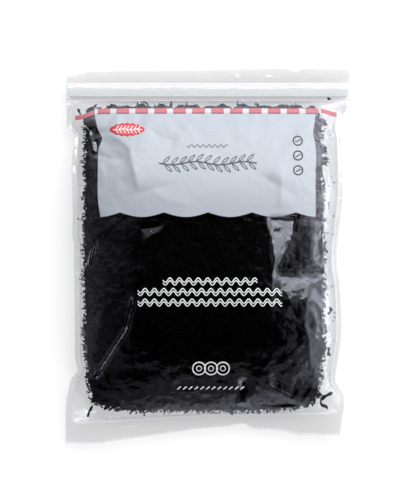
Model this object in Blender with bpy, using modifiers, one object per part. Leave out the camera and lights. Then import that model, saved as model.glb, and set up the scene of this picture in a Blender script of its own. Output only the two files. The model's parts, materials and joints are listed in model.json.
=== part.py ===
"""Dried cut wakame in its sealed clear pouch, lying on its back.

The pouch is two films welded along both sides and the foot, with a press zip under the header. The
shreds fill it as one packed heap, and a few loose flakes lie in its clear margins. X runs across the
pouch, Y from the foot to the header, and Z up out of the printed front. The origin is on the surface,
under the middle. The values below are millimetres, and the meshes are metres.
"""
import math
import random

import bmesh
import bpy
import numpy as np
from mathutils import Matrix, Vector, noise

MM = 0.001
OBJECT_NAME = "wakame_pouch"

# The pouch's outline, as (x, y) points from the foot up and from left to right
LEFT_EDGE = (
    (-142.6, -187.9), (-142.6, -160.2), (-136.9, -123.8), (-130.2, -115.2), (-132.6, -100.9),
    (-132.6, -64.5), (-133.1, 8.1), (-135.0, 22.5), (-134.5, 36.8), (-135.0, 65.5),
    (-135.9, 83.5), (-134.0, 120.9), (-141.2, 129.5), (-141.7, 178.3),
)
RIGHT_EDGE = (
    (132.4, -180.3), (137.0, -142.1), (127.8, -124.7), (133.4, -74.5), (131.4, -26.3),
    (129.3, -16.1), (128.3, -0.8), (134.4, 55.5), (135.0, 65.5), (133.9, 115.9),
    (131.9, 130.2), (141.6, 154.7), (142.6, 187.8),
)
FOOT_EDGE = (
    (-142.6, -187.9), (-119.2, -188.4), (-90.5, -185.0), (-36.9, -177.4), (1.1, -172.6),
    (16.6, -171.6), (35.0, -168.5), (45.1, -173.7), (73.7, -175.7), (94.1, -179.8),
    (132.4, -180.3),
)
HEAD_EDGE = (
    (-141.7, 178.3), (-132.9, 181.0), (-109.9, 185.0), (1.1, 186.5), (53.1, 188.4),
    (142.6, 187.8),
)
FOOT_WELD = ((-142.6, -169.5), (-85.0, -164.5), (1.1, -160.0), (133.0, -157.5))
SIDE_WELD = 5.0

# The films: their wall, the gap where they lie face to face, and the height of that seam
FILM = 0.5
GAP = 0.3
SEAM_AT_ENDS = 9.0
SEAM_AT_MIDDLE = 22.0
SEAM_FOOT_Y = -160.0
SEAM_HEAD_Y = 152.0
SEAM_RAMP = 0.35
FRONT_RISE = 32.5
BACK_DROP = 32.0
RISE_ACROSS = 3.0
RISE_ALONG = 3.6
RISE_ROUNDING = 0.65
LIFT_OFF = 3.0
POCKET_COLUMNS = 18
POCKET_ROWS = 20
CROSSING_PASSES = 6

# The press zip, whose halves meet with the same gap
ZIP_Y = 163.5
ZIP_HALF_HEIGHT = 1.7
ZIP_HALF_WIDTH = 5.0
ZIP_END_MARGIN = 3.0
ZIP_TAPE = 0.5
RIDGE_HALF_WIDTH = 5.5
RIDGE_FLANK = 3.0
JAW_OUTER = 1.9
JAW_INNER = 1.3
JAW_LIP = 0.65
LIP_LEVEL = -0.85
LIP_THICKNESS = 0.4
RIB_STEM = 0.3
RIB_HEAD = 0.95

# The heap of shreds: its core's reach, and how far the core keeps below the films
HEAP_LEFT = -117.0
HEAP_RIGHT = 109.0
HEAP_FOOT = -149.0
HEAP_HEAD = 144.0
HEAP_CORNER = 0.06
HEAP_CORNER_POWER = 6
HEAP_SLOPE_STEP = 0.02
CORE_BELOW_FRONT = 8.5
CORE_ABOVE_BACK = 6.0
CORE_COLUMNS = 12
CORE_ROWS = 15
CORE_LAYERS = 2
CORE_RELIEF = 6.0
CORE_RELIEF_SIZE = 13.0

# The shreds that stand out of the core
SEED = 41
SHRED_FILM_MARGIN = 1.3
SHRED_REACH = 9.5
SHRED_WIDTH = (11.0, 16.0)
SHRED_LENGTH = (22.0, 36.0)
SHRED_THICKNESS = 2.0
SHRED_TAPER = 0.55
SHRED_ROOT = 2.0
SHRED_LIFT = (3.5, 7.0)
SHRED_ROLL = 0.4
SHRED_TWIST = 0.8
SHRED_BEND = 7.0
SHRED_DRAWS = 14
CELL_SHARE = (0.2, 0.8)
FRONT_SHREDS = (10, 13)
BACK_SHREDS = (5, 7)
SURFACE_STEPS = 2

# The shreds that stand out of the core's sides
RIM_SHREDS = 70
RIM_STEPS = 2
RIM_LENGTH = (13.0, 24.0)
RIM_WIDTH = (5.0, 10.0)
RIM_ROOT = 8.0
RIM_FAN = 0.9
RIM_CLIMB = 0.35
RIM_LIFT = 3.0
RIM_ROLL = 1.2
RIM_BEND = 6.0
RIM_LEVEL = 0.7
RIM_CELL_SHARE = (0.1, 0.9)
ON_SIDE = 0.999999

# Loose flakes, as (x, y, length, width, turn in degrees)
LOOSE_FLAKES = (
    (118.5, -140.5, 15.0, 4.5, 36.0),
    (116.0, -149.8, 10.0, 3.2, 117.0),
    (-118.0, -156.0, 13.0, 2.6, 72.0),
    (121.5, -55.0, 8.0, 3.5, 80.0),
    (120.5, -96.0, 9.0, 3.5, 110.0),
    (-129.0, 144.0, 7.0, 2.6, 125.0),
)
FLAKE_THICKNESS = 1.0
FLAKE_STEPS = 3
FLAKE_LIFT = 0.6
FLAKE_TWIST = 0.5
FLAKE_BEND = 0.15
FLAKE_KEEP_OUT = 1.5

# The materials, as (colour, roughness, cover)
PRINTED_FILM_LOOK = ((0.80, 0.83, 0.86), 0.15, 0.35)
CLEAR_FILM_LOOK = ((0.85, 0.86, 0.87), 0.15, 0.35)
ZIP_LOOK = ((0.88, 0.90, 0.90), 0.3, 1.0)
WAKAME_LOOK = ((0.012, 0.013, 0.014), 0.6, 1.0)
FLAKE_LOOK = ((0.016, 0.015, 0.014), 0.6, 1.0)


def clear_scene():
    """Remove everything that the file holds."""
    for item in list(bpy.data.objects):
        bpy.data.objects.remove(item, do_unlink=True)


def make_collection(name):
    """A new collection in the scene."""
    collection = bpy.data.collections.new(name)
    bpy.context.scene.collection.children.link(collection)
    return collection


def make_material(name, look):
    """A plain Principled material."""
    colour, roughness, cover = look
    material = bpy.data.materials.new(name)
    material.use_nodes = True
    shader = material.node_tree.nodes["Principled BSDF"]
    shader.inputs["Base Color"].default_value = (*colour, 1.0)
    shader.inputs["Roughness"].default_value = roughness
    shader.inputs["Metallic"].default_value = 0.0
    shader.inputs["Alpha"].default_value = cover
    return material


def add_object(name, bm, collection, material):
    """Turn a bmesh in millimetres into an object in metres."""
    bm.transform(Matrix.Scale(MM, 4))
    mesh = bpy.data.meshes.new(name)
    bm.to_mesh(mesh)
    bm.free()
    mesh.materials.append(material)
    item = bpy.data.objects.new(name, mesh)
    collection.objects.link(item)
    return item


def smooth_through(knots, values, at):
    """The value at a place on a curve through the knots, which has no overshoot."""
    knots = np.asarray(knots, dtype=float)
    values = np.asarray(values, dtype=float)
    run = np.diff(knots)
    slope = np.diff(values) / run
    product = slope[:-1] * slope[1:]
    inner = np.zeros_like(product)
    same_way = product > 0.0
    inner[same_way] = 2.0 * product[same_way] / (slope[:-1] + slope[1:])[same_way]
    tangent = np.concatenate((slope[:1], inner, slope[-1:]))
    span = int(np.clip(np.searchsorted(knots, at) - 1, 0, len(run) - 1))
    w = min(max((at - knots[span]) / run[span], 0.0), 1.0)
    rise = w * w * (3.0 - 2.0 * w)
    start_bend = tangent[span] * run[span] * w * (1.0 - w) ** 2
    end_bend = tangent[span + 1] * run[span] * w * w * (w - 1.0)
    return float(values[span] * (1.0 - rise) + values[span + 1] * rise + start_bend + end_bend)


def side_x(edge, y):
    """Where a side edge is at a height on the pouch."""
    return smooth_through([point[1] for point in edge], [point[0] for point in edge], y)


def level_y(curve, x):
    """Where a curve across the pouch is at a place along X."""
    return smooth_through([point[0] for point in curve], [point[1] for point in curve], x)


def film_column(column, y):
    """X of a grid column: 0 left edge, 1 left weld, 2 right weld, 3 right edge."""
    left = side_x(LEFT_EDGE, y)
    right = side_x(RIGHT_EDGE, y)
    stops = (left, left + SIDE_WELD, right - SIDE_WELD, right)
    return float(np.interp(column, (0, 1, 2, 3), stops))


def film_row(row, x):
    """Y of a grid row: 0 foot edge, 1 foot weld, 2 to 5 the zip's ridge, 6 head edge."""
    ridge = RIDGE_HALF_WIDTH
    flank = RIDGE_HALF_WIDTH + RIDGE_FLANK
    stops = (
        level_y(FOOT_EDGE, x), level_y(FOOT_WELD, x), ZIP_Y - flank, ZIP_Y - ridge,
        ZIP_Y + ridge, ZIP_Y + flank, level_y(HEAD_EDGE, x),
    )
    return float(np.interp(row, range(len(stops)), stops))


def film_point(column, row):
    """The (x, y) of a grid crossing, which both its column and its row pass through."""
    x = 0.0
    for _ in range(CROSSING_PASSES):
        y = film_row(row, x)
        x = film_column(column, y)
    return x, y


def pocket_share(x, y):
    """How far a point is across and along the pocket, from 0 to 1 inside it."""
    left = side_x(LEFT_EDGE, y) + SIDE_WELD
    right = side_x(RIGHT_EDGE, y) - SIDE_WELD
    foot = level_y(FOOT_WELD, x)
    head = ZIP_Y - RIDGE_HALF_WIDTH - RIDGE_FLANK
    return (x - left) / (right - left), (y - foot) / (head - foot)


def dome(share, power):
    """A rise from 0 at the ends of a span to 1 in its middle."""
    away = abs(2.0 * share - 1.0)
    return max(1.0 - away ** power, 0.0) ** RISE_ROUNDING if away < 1.0 else 0.0


def fullness(x, y):
    """How full the pocket is at a point, from 0 at its welds to 1."""
    across, along = pocket_share(x, y)
    return dome(across, RISE_ACROSS) * dome(along, RISE_ALONG)


def seam_height(y):
    """Height of the plane where the two films meet."""
    share = (y - SEAM_FOOT_Y) / (SEAM_HEAD_Y - SEAM_FOOT_Y)
    ramp = min(max(min(share, 1.0 - share) / SEAM_RAMP, 0.0), 1.0)
    return SEAM_AT_ENDS + (SEAM_AT_MIDDLE - SEAM_AT_ENDS) * ramp * ramp * (3.0 - 2.0 * ramp)


def zip_room(y):
    """How far each film stands off the seam to pass over the zip."""
    away = abs(y - ZIP_Y) - RIDGE_HALF_WIDTH
    share = min(max(1.0 - away / RIDGE_FLANK, 0.0), 1.0)
    return (ZIP_HALF_HEIGHT + GAP / 2.0) * share


def front_height(x, y):
    """Height of the front film's inner face."""
    return seam_height(y) + GAP / 2.0 + zip_room(y) + FRONT_RISE * fullness(x, y)


def back_height(x, y):
    """Height of the back film's inner face, which lies flat where the pouch rests."""
    free = seam_height(y) - GAP / 2.0 - zip_room(y) - BACK_DROP * fullness(x, y) - FILM
    if free > LIFT_OFF:
        return FILM + free
    if free < -LIFT_OFF:
        return FILM
    return FILM + (free + LIFT_OFF) ** 2 / (4.0 * LIFT_OFF)


def spread(cells):
    """Shares from 0 to 1 that crowd together at both ends."""
    return [(1.0 - math.cos(math.pi * i / cells)) / 2.0 for i in range(cells + 1)]


def make_film(name, height, faces_up, collection, material):
    """One film: a grid laid over the outline, raised to its height and given its wall."""
    columns = [0.0] + [1.0 + share for share in spread(POCKET_COLUMNS)] + [3.0]
    rows = [0.0] + [1.0 + share for share in spread(POCKET_ROWS)] + [3.0, 4.0, 5.0, 6.0]
    bm = bmesh.new()
    bmesh.ops.create_grid(bm, x_segments=len(columns) - 1, y_segments=len(rows) - 1, size=1.0)
    for vert in bm.verts:
        i = round((vert.co.x + 1.0) / 2.0 * (len(columns) - 1))
        j = round((vert.co.y + 1.0) / 2.0 * (len(rows) - 1))
        x, y = film_point(columns[i], rows[j])
        vert.co = (x, y, height(x, y))
    bmesh.ops.triangulate(bm, faces=bm.faces)
    if not faces_up:
        bmesh.ops.reverse_faces(bm, faces=bm.faces)
    film = add_object(name, bm, collection, material)
    wall = film.modifiers.new("wall", "SOLIDIFY")
    wall.thickness = FILM * MM
    wall.offset = 1.0
    wall.use_even_offset = True
    return film


def extrude_profile(name, profile, collection, material):
    """A straight strip along X with the given (y, z) section about the zip's middle."""
    start = film_column(0.0, ZIP_Y) + ZIP_END_MARGIN
    length = film_column(3.0, ZIP_Y) - ZIP_END_MARGIN - start
    bm = bmesh.new()
    middle = seam_height(ZIP_Y)
    section = [bm.verts.new((start, ZIP_Y + y, middle + z)) for y, z in profile]
    face = bm.faces.new(section)
    swept = bmesh.ops.extrude_face_region(bm, geom=[face])
    moved = [item for item in swept["geom"] if isinstance(item, bmesh.types.BMVert)]
    bmesh.ops.translate(bm, verts=moved, vec=(length, 0.0, 0.0))
    bmesh.ops.recalc_face_normals(bm, faces=bm.faces)
    return add_object(name, bm, collection, material)


def zip_channel_profile():
    """Section of the front half: a tape with two jaws whose lips turn in."""
    top = ZIP_HALF_HEIGHT
    tape = top - ZIP_TAPE
    lip_top = LIP_LEVEL + LIP_THICKNESS
    half = [
        (ZIP_HALF_WIDTH, top), (ZIP_HALF_WIDTH, tape), (JAW_OUTER, tape), (JAW_OUTER, LIP_LEVEL),
        (JAW_LIP, LIP_LEVEL), (JAW_LIP, lip_top), (JAW_INNER, lip_top), (JAW_INNER, tape),
    ]
    return half + [(-y, z) for y, z in reversed(half)]


def zip_rib_profile():
    """Section of the back half: a tape with a rib whose head catches behind the lips."""
    bottom = -ZIP_HALF_HEIGHT
    tape = bottom + ZIP_TAPE
    shoulder = LIP_LEVEL + LIP_THICKNESS + GAP
    head = ZIP_HALF_HEIGHT - ZIP_TAPE - GAP
    half = [
        (ZIP_HALF_WIDTH, bottom), (ZIP_HALF_WIDTH, tape), (RIB_STEM, tape),
        (RIB_STEM, shoulder), (RIB_HEAD, shoulder), (RIB_STEM, head),
    ]
    return half + [(-y, z) for y, z in reversed(half)]


def heap_plan(a, b):
    """The (x, y) of a core point from its shares, -1 to 1, with the corners drawn in."""
    half_width = (HEAP_RIGHT - HEAP_LEFT) / 2.0 * (1.0 - HEAP_CORNER * b ** HEAP_CORNER_POWER)
    half_length = (HEAP_HEAD - HEAP_FOOT) / 2.0 * (1.0 - HEAP_CORNER * a ** HEAP_CORNER_POWER)
    x = (HEAP_LEFT + HEAP_RIGHT) / 2.0 + half_width * a
    y = (HEAP_FOOT + HEAP_HEAD) / 2.0 + half_length * b
    return x, y


def heap_point(a, b, c):
    """A point of the core: a across, b along and c from its underside to its top."""
    x, y = heap_plan(a, b)
    top = front_height(x, y) - CORE_BELOW_FRONT
    bottom = back_height(x, y) + CORE_ABOVE_BACK
    return Vector((x, y, bottom + (top - bottom) * (c + 1.0) / 2.0))


def heap_normal(a, b, c):
    """Direction straight out of the core's top (c = 1) or underside (c = -1)."""
    step = HEAP_SLOPE_STEP
    across = heap_point(a + step, b, c) - heap_point(a - step, b, c)
    along = heap_point(a, b + step, c) - heap_point(a, b - step, c)
    return across.cross(along).normalized() * c


def make_core(collection, material):
    """The heap's core, a cut-up block fitted between the films, with crumpled relief."""
    bm = bmesh.new()
    bmesh.ops.create_cube(bm, size=2.0)
    for axis, cells in ((0, CORE_COLUMNS), (1, CORE_ROWS), (2, CORE_LAYERS)):
        for cut in range(1, cells):
            place = Vector((0.0, 0.0, 0.0))
            place[axis] = -1.0 + 2.0 * cut / cells
            normal = Vector((0.0, 0.0, 0.0))
            normal[axis] = 1.0
            everything = bm.verts[:] + bm.edges[:] + bm.faces[:]
            bmesh.ops.bisect_plane(bm, geom=everything, plane_co=place, plane_no=normal)
    for vert in bm.verts:
        vert.co = heap_point(*vert.co)
    bmesh.ops.recalc_face_normals(bm, faces=bm.faces)
    bm.normal_update()
    moves = [
        vert.normal * CORE_RELIEF * noise.noise(vert.co / CORE_RELIEF_SIZE) for vert in bm.verts
    ]
    for vert, move in zip(bm.verts, moves):
        vert.co += move
    bmesh.ops.triangulate(bm, faces=bm.faces)
    return add_object("wakame", bm, collection, material)


def shred_rings(root, along, up, steps, length, width, lift, roll, twist, bend, thickness):
    """Rings of three points along a bent, twisted shred that narrows to its tip."""
    side = up.cross(along)
    rings = []
    for step in range(steps + 1):
        share = step / steps
        middle = root + along * length * share + up * lift * math.sin(share * math.pi / 2.0)
        middle += side * bend * share * share
        turn = Matrix.Rotation(roll + twist * share, 3, along)
        across = turn @ side * width * (1.0 - SHRED_TAPER * share * share) / 2.0
        crest = turn @ up * thickness
        rings.append((middle - across, middle + across, middle + crest))
    return rings


def shred_mesh(rings):
    """A closed three-sided blade through the rings."""
    bm = bmesh.new()
    layers = [[bm.verts.new(point) for point in ring] for ring in rings]
    for below, above in zip(layers, layers[1:]):
        for i in range(3):
            j = (i + 1) % 3
            bm.faces.new((below[i], below[j], above[j], above[i]))
    bm.faces.new(layers[0])
    bm.faces.new(layers[-1])
    bmesh.ops.triangulate(bm, faces=bm.faces)
    bmesh.ops.recalc_face_normals(bm, faces=bm.faces)
    return bm


def inside_pouch(point):
    """Whether a shred's point keeps clear of the films and of the loose flakes."""
    x, y, z = point
    if not HEAP_LEFT - SHRED_REACH < x < HEAP_RIGHT + SHRED_REACH:
        return False
    if not HEAP_FOOT - SHRED_REACH < y < HEAP_HEAD + SHRED_REACH:
        return False
    if not back_height(x, y) + SHRED_FILM_MARGIN < z < front_height(x, y) - SHRED_FILM_MARGIN:
        return False
    for flake_x, flake_y, length, _, _ in LOOSE_FLAKES:
        if math.hypot(x - flake_x, y - flake_y) < length / 2.0 + FLAKE_KEEP_OUT:
            return False
    return True


def draw_shred(rng, place, up):
    """Draw a shred from its root until one fits inside the pouch, or give none."""
    for _ in range(SHRED_DRAWS):
        turn = rng.uniform(0.0, 2.0 * math.pi)
        flat = Vector((math.cos(turn), math.sin(turn), 0.0))
        along = (flat - up * flat.dot(up)).normalized()
        rings = shred_rings(
            root=place - up * SHRED_ROOT,
            along=along,
            up=up,
            steps=SURFACE_STEPS,
            length=rng.uniform(*SHRED_LENGTH),
            width=rng.uniform(*SHRED_WIDTH),
            lift=rng.uniform(*SHRED_LIFT),
            roll=rng.uniform(-SHRED_ROLL, SHRED_ROLL),
            twist=rng.uniform(-SHRED_TWIST, SHRED_TWIST),
            bend=rng.uniform(-SHRED_BEND, SHRED_BEND),
            thickness=SHRED_THICKNESS,
        )
        if all(inside_pouch(point) for ring in rings for point in ring):
            return rings
    return None


def draw_rim_shred(rng, place, outward):
    """Draw a shred that stands out of the heap's side, or give none."""
    for _ in range(SHRED_DRAWS):
        turn = outward + rng.uniform(-RIM_FAN, RIM_FAN)
        climb = rng.uniform(-RIM_CLIMB, RIM_CLIMB)
        along = Vector((math.cos(turn), math.sin(turn), climb)).normalized()
        up = Vector((0.0, 0.0, 1.0))
        up = (up - along * up.dot(along)).normalized()
        rings = shred_rings(
            root=place - along * RIM_ROOT,
            along=along,
            up=up,
            steps=RIM_STEPS,
            length=rng.uniform(*RIM_LENGTH),
            width=rng.uniform(*RIM_WIDTH),
            lift=rng.uniform(-RIM_LIFT, RIM_LIFT),
            roll=rng.uniform(-RIM_ROLL, RIM_ROLL),
            twist=rng.uniform(-SHRED_TWIST, SHRED_TWIST),
            bend=rng.uniform(-RIM_BEND, RIM_BEND),
            thickness=SHRED_THICKNESS,
        )
        if all(inside_pouch(point) for ring in rings for point in ring):
            return rings
    return None


def surface_shreds(rng, counts, c):
    """Shreds lying over the core's top (c = 1) or underside (c = -1)."""
    across, along = counts
    found = []
    for i in range(across):
        for j in range(along):
            a = -1.0 + 2.0 * (i + rng.uniform(*CELL_SHARE)) / across
            b = -1.0 + 2.0 * (j + rng.uniform(*CELL_SHARE)) / along
            found.append(draw_shred(rng, heap_point(a, b, c), heap_normal(a, b, c)))
    return found


def rim_shreds(rng):
    """Shreds standing out of the heap's sides all round."""
    found = []
    for i in range(RIM_SHREDS):
        turn = 2.0 * math.pi * (i + rng.uniform(*RIM_CELL_SHARE)) / RIM_SHREDS
        reach = max(abs(math.cos(turn)), abs(math.sin(turn)))
        a = math.cos(turn) / reach
        b = math.sin(turn) / reach
        out_x = a if abs(a) > ON_SIDE else 0.0
        out_y = b if abs(b) > ON_SIDE else 0.0
        root = heap_point(a, b, rng.uniform(-RIM_LEVEL, RIM_LEVEL))
        found.append(draw_rim_shred(rng, root, math.atan2(out_y, out_x)))
    return found


def keep_largest(bm):
    """Drop every loose scrap but the body with the most faces."""
    bm.faces.ensure_lookup_table()
    left = set(bm.faces)
    bodies = []
    while left:
        front = [left.pop()]
        body = set(front)
        while front:
            for edge in front.pop().edges:
                for face in edge.link_faces:
                    if face in left:
                        left.remove(face)
                        body.add(face)
                        front.append(face)
        bodies.append(body)
    bodies.sort(key=len)
    for body in bodies[:-1]:
        bmesh.ops.delete(bm, geom=list(body), context="FACES")


def make_wakame(collection, material):
    """The packed shreds: the core with every shred fused into it."""
    core = make_core(collection, material)
    rng = random.Random(SEED)
    shreds = surface_shreds(rng, FRONT_SHREDS, 1.0)
    shreds += surface_shreds(rng, BACK_SHREDS, -1.0)
    shreds += rim_shreds(rng)
    joined = make_collection("shreds")
    for rings in shreds:
        if rings is not None:
            add_object("shred", shred_mesh(rings), joined, material)
    union = core.modifiers.new("shreds", "BOOLEAN")
    union.operation = "UNION"
    union.operand_type = "COLLECTION"
    union.collection = joined
    union.solver = "MANIFOLD"
    bpy.context.view_layer.update()
    graph = bpy.context.evaluated_depsgraph_get()
    fused = bpy.data.meshes.new_from_object(core.evaluated_get(graph))
    core.modifiers.clear()
    bm = bmesh.new()
    bm.from_mesh(fused)
    keep_largest(bm)
    bm.to_mesh(core.data)
    bm.free()
    for item in list(joined.objects):
        bpy.data.objects.remove(item, do_unlink=True)
    bpy.data.collections.remove(joined)
    return core


def make_flake(number, collection, material):
    """One loose curled flake between the films."""
    x, y, length, width, degrees = LOOSE_FLAKES[number]
    turn = math.radians(degrees)
    along = Vector((math.cos(turn), math.sin(turn), 0.0))
    middle = Vector((x, y, (front_height(x, y) + back_height(x, y) - FLAKE_THICKNESS) / 2.0))
    rings = shred_rings(
        root=middle - along * length / 2.0,
        along=along,
        up=Vector((0.0, 0.0, 1.0)),
        steps=FLAKE_STEPS,
        length=length,
        width=width,
        lift=FLAKE_LIFT,
        roll=0.0,
        twist=FLAKE_TWIST,
        bend=FLAKE_BEND * length,
        thickness=FLAKE_THICKNESS,
    )
    return add_object(f"loose_flake_{number + 1}", shred_mesh(rings), collection, material)


def build():
    """Build every piece of the pouch."""
    clear_scene()
    pouch = make_collection(OBJECT_NAME)
    front = make_material("clear printed film", PRINTED_FILM_LOOK)
    back = make_material("clear film", CLEAR_FILM_LOOK)
    closure = make_material("white zip", ZIP_LOOK)
    seaweed = make_material("dried wakame", WAKAME_LOOK)
    scraps = make_material("loose wakame", FLAKE_LOOK)
    make_film("front_film", front_height, True, pouch, front)
    make_film("back_film", back_height, False, pouch, back)
    extrude_profile("zip_channel", zip_channel_profile(), pouch, closure)
    extrude_profile("zip_rib", zip_rib_profile(), pouch, closure)
    make_wakame(pouch, seaweed)
    for number in range(len(LOOSE_FLAKES)):
        make_flake(number, pouch, scraps)


build()
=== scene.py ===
"""The looks of a sealed clear pouch of dried cut wakame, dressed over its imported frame.

The pouch lies on its back with its printed front up. X runs across it, Y from its foot to its header,
and Z up. Lengths in the classes below are millimetres, and every mesh is turned into metres once, when
its object is made.
"""
from __future__ import annotations

import json
import logging
import math
import random
from dataclasses import dataclass, field
from enum import Enum
from typing import Callable, Sequence

import bmesh
import bpy
import numpy as np
from mathutils import Euler, Matrix, Vector, noise
from mathutils.bvhtree import BVHTree

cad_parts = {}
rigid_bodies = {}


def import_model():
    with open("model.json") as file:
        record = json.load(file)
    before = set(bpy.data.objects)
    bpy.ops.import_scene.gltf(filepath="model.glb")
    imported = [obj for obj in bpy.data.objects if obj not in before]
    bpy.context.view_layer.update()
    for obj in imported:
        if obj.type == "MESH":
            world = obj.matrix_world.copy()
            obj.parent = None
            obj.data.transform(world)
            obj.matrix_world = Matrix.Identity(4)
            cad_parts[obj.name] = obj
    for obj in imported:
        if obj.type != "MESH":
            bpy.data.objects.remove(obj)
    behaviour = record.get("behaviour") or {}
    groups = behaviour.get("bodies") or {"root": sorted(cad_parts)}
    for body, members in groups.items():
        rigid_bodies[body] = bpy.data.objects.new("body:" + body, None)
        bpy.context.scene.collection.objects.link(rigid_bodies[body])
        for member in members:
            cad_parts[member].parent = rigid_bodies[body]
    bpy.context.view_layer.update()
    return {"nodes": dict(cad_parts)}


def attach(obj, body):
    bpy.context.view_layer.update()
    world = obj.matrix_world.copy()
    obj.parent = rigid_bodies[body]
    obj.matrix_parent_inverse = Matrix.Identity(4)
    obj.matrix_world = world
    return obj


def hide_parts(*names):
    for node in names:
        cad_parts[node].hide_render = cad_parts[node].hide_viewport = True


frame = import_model()

LOG = logging.getLogger("wakame_pouch")
MM = 0.001
BODY = "root"

Points = Sequence[tuple[float, float]]
Colour = tuple[float, float, float]
Triples = Sequence[tuple[float, float, float]]


class Slot(Enum):
    """The record's material slots that the pieces made here fill."""

    PRINTED_FILM = "printed_film"
    CLEAR_FILM = "clear_film"
    WAKAME = "dried_wakame"


def smooth_through(points: Points, at: np.ndarray, flip: bool = False) -> np.ndarray:
    """Read a curve through points that has no overshoot.

    Args:
        points: The curve's (x, y) points, in rising order of the one that is looked up.
        at: The places to read the curve at.
        flip: Look up y and give x, instead of looking up x and giving y.

    Returns:
        The curve's value at each place.
    """
    table = np.array(points, dtype=float)
    knots, values = (table[:, 1], table[:, 0]) if flip else (table[:, 0], table[:, 1])
    run = np.diff(knots)
    slope = np.diff(values) / run
    product = slope[:-1] * slope[1:]
    total = np.where(product > 0.0, slope[:-1] + slope[1:], 1.0)
    inner = np.where(product > 0.0, 2.0 * product / total, 0.0)
    tangent = np.concatenate((slope[:1], inner, slope[-1:]))
    span = np.clip(np.searchsorted(knots, at) - 1, 0, len(run) - 1)
    w = np.clip((at - knots[span]) / run[span], 0.0, 1.0)
    rise = w * w * (3.0 - 2.0 * w)
    start_bend = tangent[span] * run[span] * w * (1.0 - w) ** 2
    end_bend = tangent[span + 1] * run[span] * w * w * (w - 1.0)
    return values[span] * (1.0 - rise) + values[span + 1] * rise + start_bend + end_bend


def smooth_step(low: float, high: float, at: np.ndarray) -> np.ndarray:
    """Rise smoothly from 0 at low to 1 at high."""
    share = np.clip((at - low) / (high - low), 0.0, 1.0)
    return share * share * (3.0 - 2.0 * share)


def noise_field(x: np.ndarray, y: np.ndarray, size: float, layer: float) -> np.ndarray:
    """Read smooth noise of the given size at every point.

    Args:
        x: The points' X.
        y: The points' Y.
        size: The length over which the noise changes.
        layer: Which of the unlike noises to read.

    Returns:
        Values from about -1 to 1.
    """
    flat = zip(np.ravel(x) / size, np.ravel(y) / size)
    values = [noise.noise(Vector((a, b, layer))) for a, b in flat]
    return np.array(values).reshape(np.shape(x))


def ridged(x: np.ndarray, y: np.ndarray, size: float, layer: float) -> np.ndarray:
    """Read noise that is folded over into sharp crests, from about -1 to 1."""
    return 1.0 - 2.0 * np.abs(noise_field(x, y, size, layer))


def layered(x: np.ndarray, y: np.ndarray, layers: Triples) -> np.ndarray:
    """Add up layers of noise, each given by its height, its size and which noise it reads."""
    return sum(height * noise_field(x, y, size, layer) for height, size, layer in layers)


@dataclass(frozen=True)
class Crease:
    """A fold pressed into a film: a bent crest between two flanks.

    Attributes:
        path: The crest's points, in order.
        rise: Height of the crest, below zero for a valley.
        left_width: Width of the flank on the left of the way along the path.
        right_width: Width of the flank on its right.
        end_power: How late the crest falls to nothing at its ends.
    """

    path: Points
    rise: float
    left_width: float
    right_width: float
    end_power: int = 6

    def height(self, x: np.ndarray, y: np.ndarray) -> np.ndarray:
        """Work out the fold's height over points of the film.

        Args:
            x: The points' X.
            y: The points' Y.

        Returns:
            The height at each point.
        """
        corners = np.array(self.path)
        runs = np.diff(corners, axis=0)
        lengths = np.hypot(runs[:, 0], runs[:, 1])
        nearest = np.full(np.shape(x), np.inf)
        width = np.ones_like(x)
        share = np.zeros_like(x)
        for number, (corner, run, length) in enumerate(zip(corners, runs, lengths)):
            off_x, off_y = x - corner[0], y - corner[1]
            along = np.clip((off_x * run[0] + off_y * run[1]) / length ** 2, 0.0, 1.0)
            away = np.hypot(off_x - along * run[0], off_y - along * run[1])
            aside = off_y * run[0] - off_x * run[1]
            closer = away < nearest
            nearest = np.where(closer, away, nearest)
            flank = np.where(aside > 0.0, self.left_width, self.right_width)
            width = np.where(closer, flank, width)
            whole = (lengths[:number].sum() + along * length) / lengths.sum()
            share = np.where(closer, whole, share)
        taper = 1.0 - np.abs(2.0 * share - 1.0) ** self.end_power
        return self.rise * taper * np.exp(-nearest / width)


@dataclass(frozen=True)
class Facet:
    """A patch of the front film that is pulled flat and tilts on its own.

    Attributes:
        corners: The patch's corners, anticlockwise.
        slope: How much the patch climbs for each millimetre along X and along Y.
        soft: Width of the bend along its sides.
        lift: How far its middle is raised.
    """

    corners: Points
    slope: tuple[float, float]
    soft: float = 3.0
    lift: float = 0.0

    def cover(self, x: np.ndarray, y: np.ndarray) -> np.ndarray:
        """Tell how much of the patch's tilt reaches points of the film.

        Args:
            x: The points' X.
            y: The points' Y.

        Returns:
            1 inside the patch, 0 outside it.
        """
        table = np.array(self.corners)
        inside = np.full(np.shape(x), np.inf)
        for corner, following in zip(table, np.roll(table, -1, axis=0)):
            run = following - corner
            left_of = (run[0] * (y - corner[1]) - run[1] * (x - corner[0])) / np.hypot(*run)
            inside = np.minimum(inside, left_of)
        return smooth_step(-self.soft / 2.0, self.soft, inside)

    def height(self, x: np.ndarray, y: np.ndarray) -> np.ndarray:
        """Work out the patch's height over points of the film.

        Args:
            x: The points' X.
            y: The points' Y.

        Returns:
            The height at each point.
        """
        middle = np.array(self.corners).mean(axis=0)
        tilt = self.slope[0] * (x - middle[0]) + self.slope[1] * (y - middle[1])
        return (tilt + self.lift) * self.cover(x, y)


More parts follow.
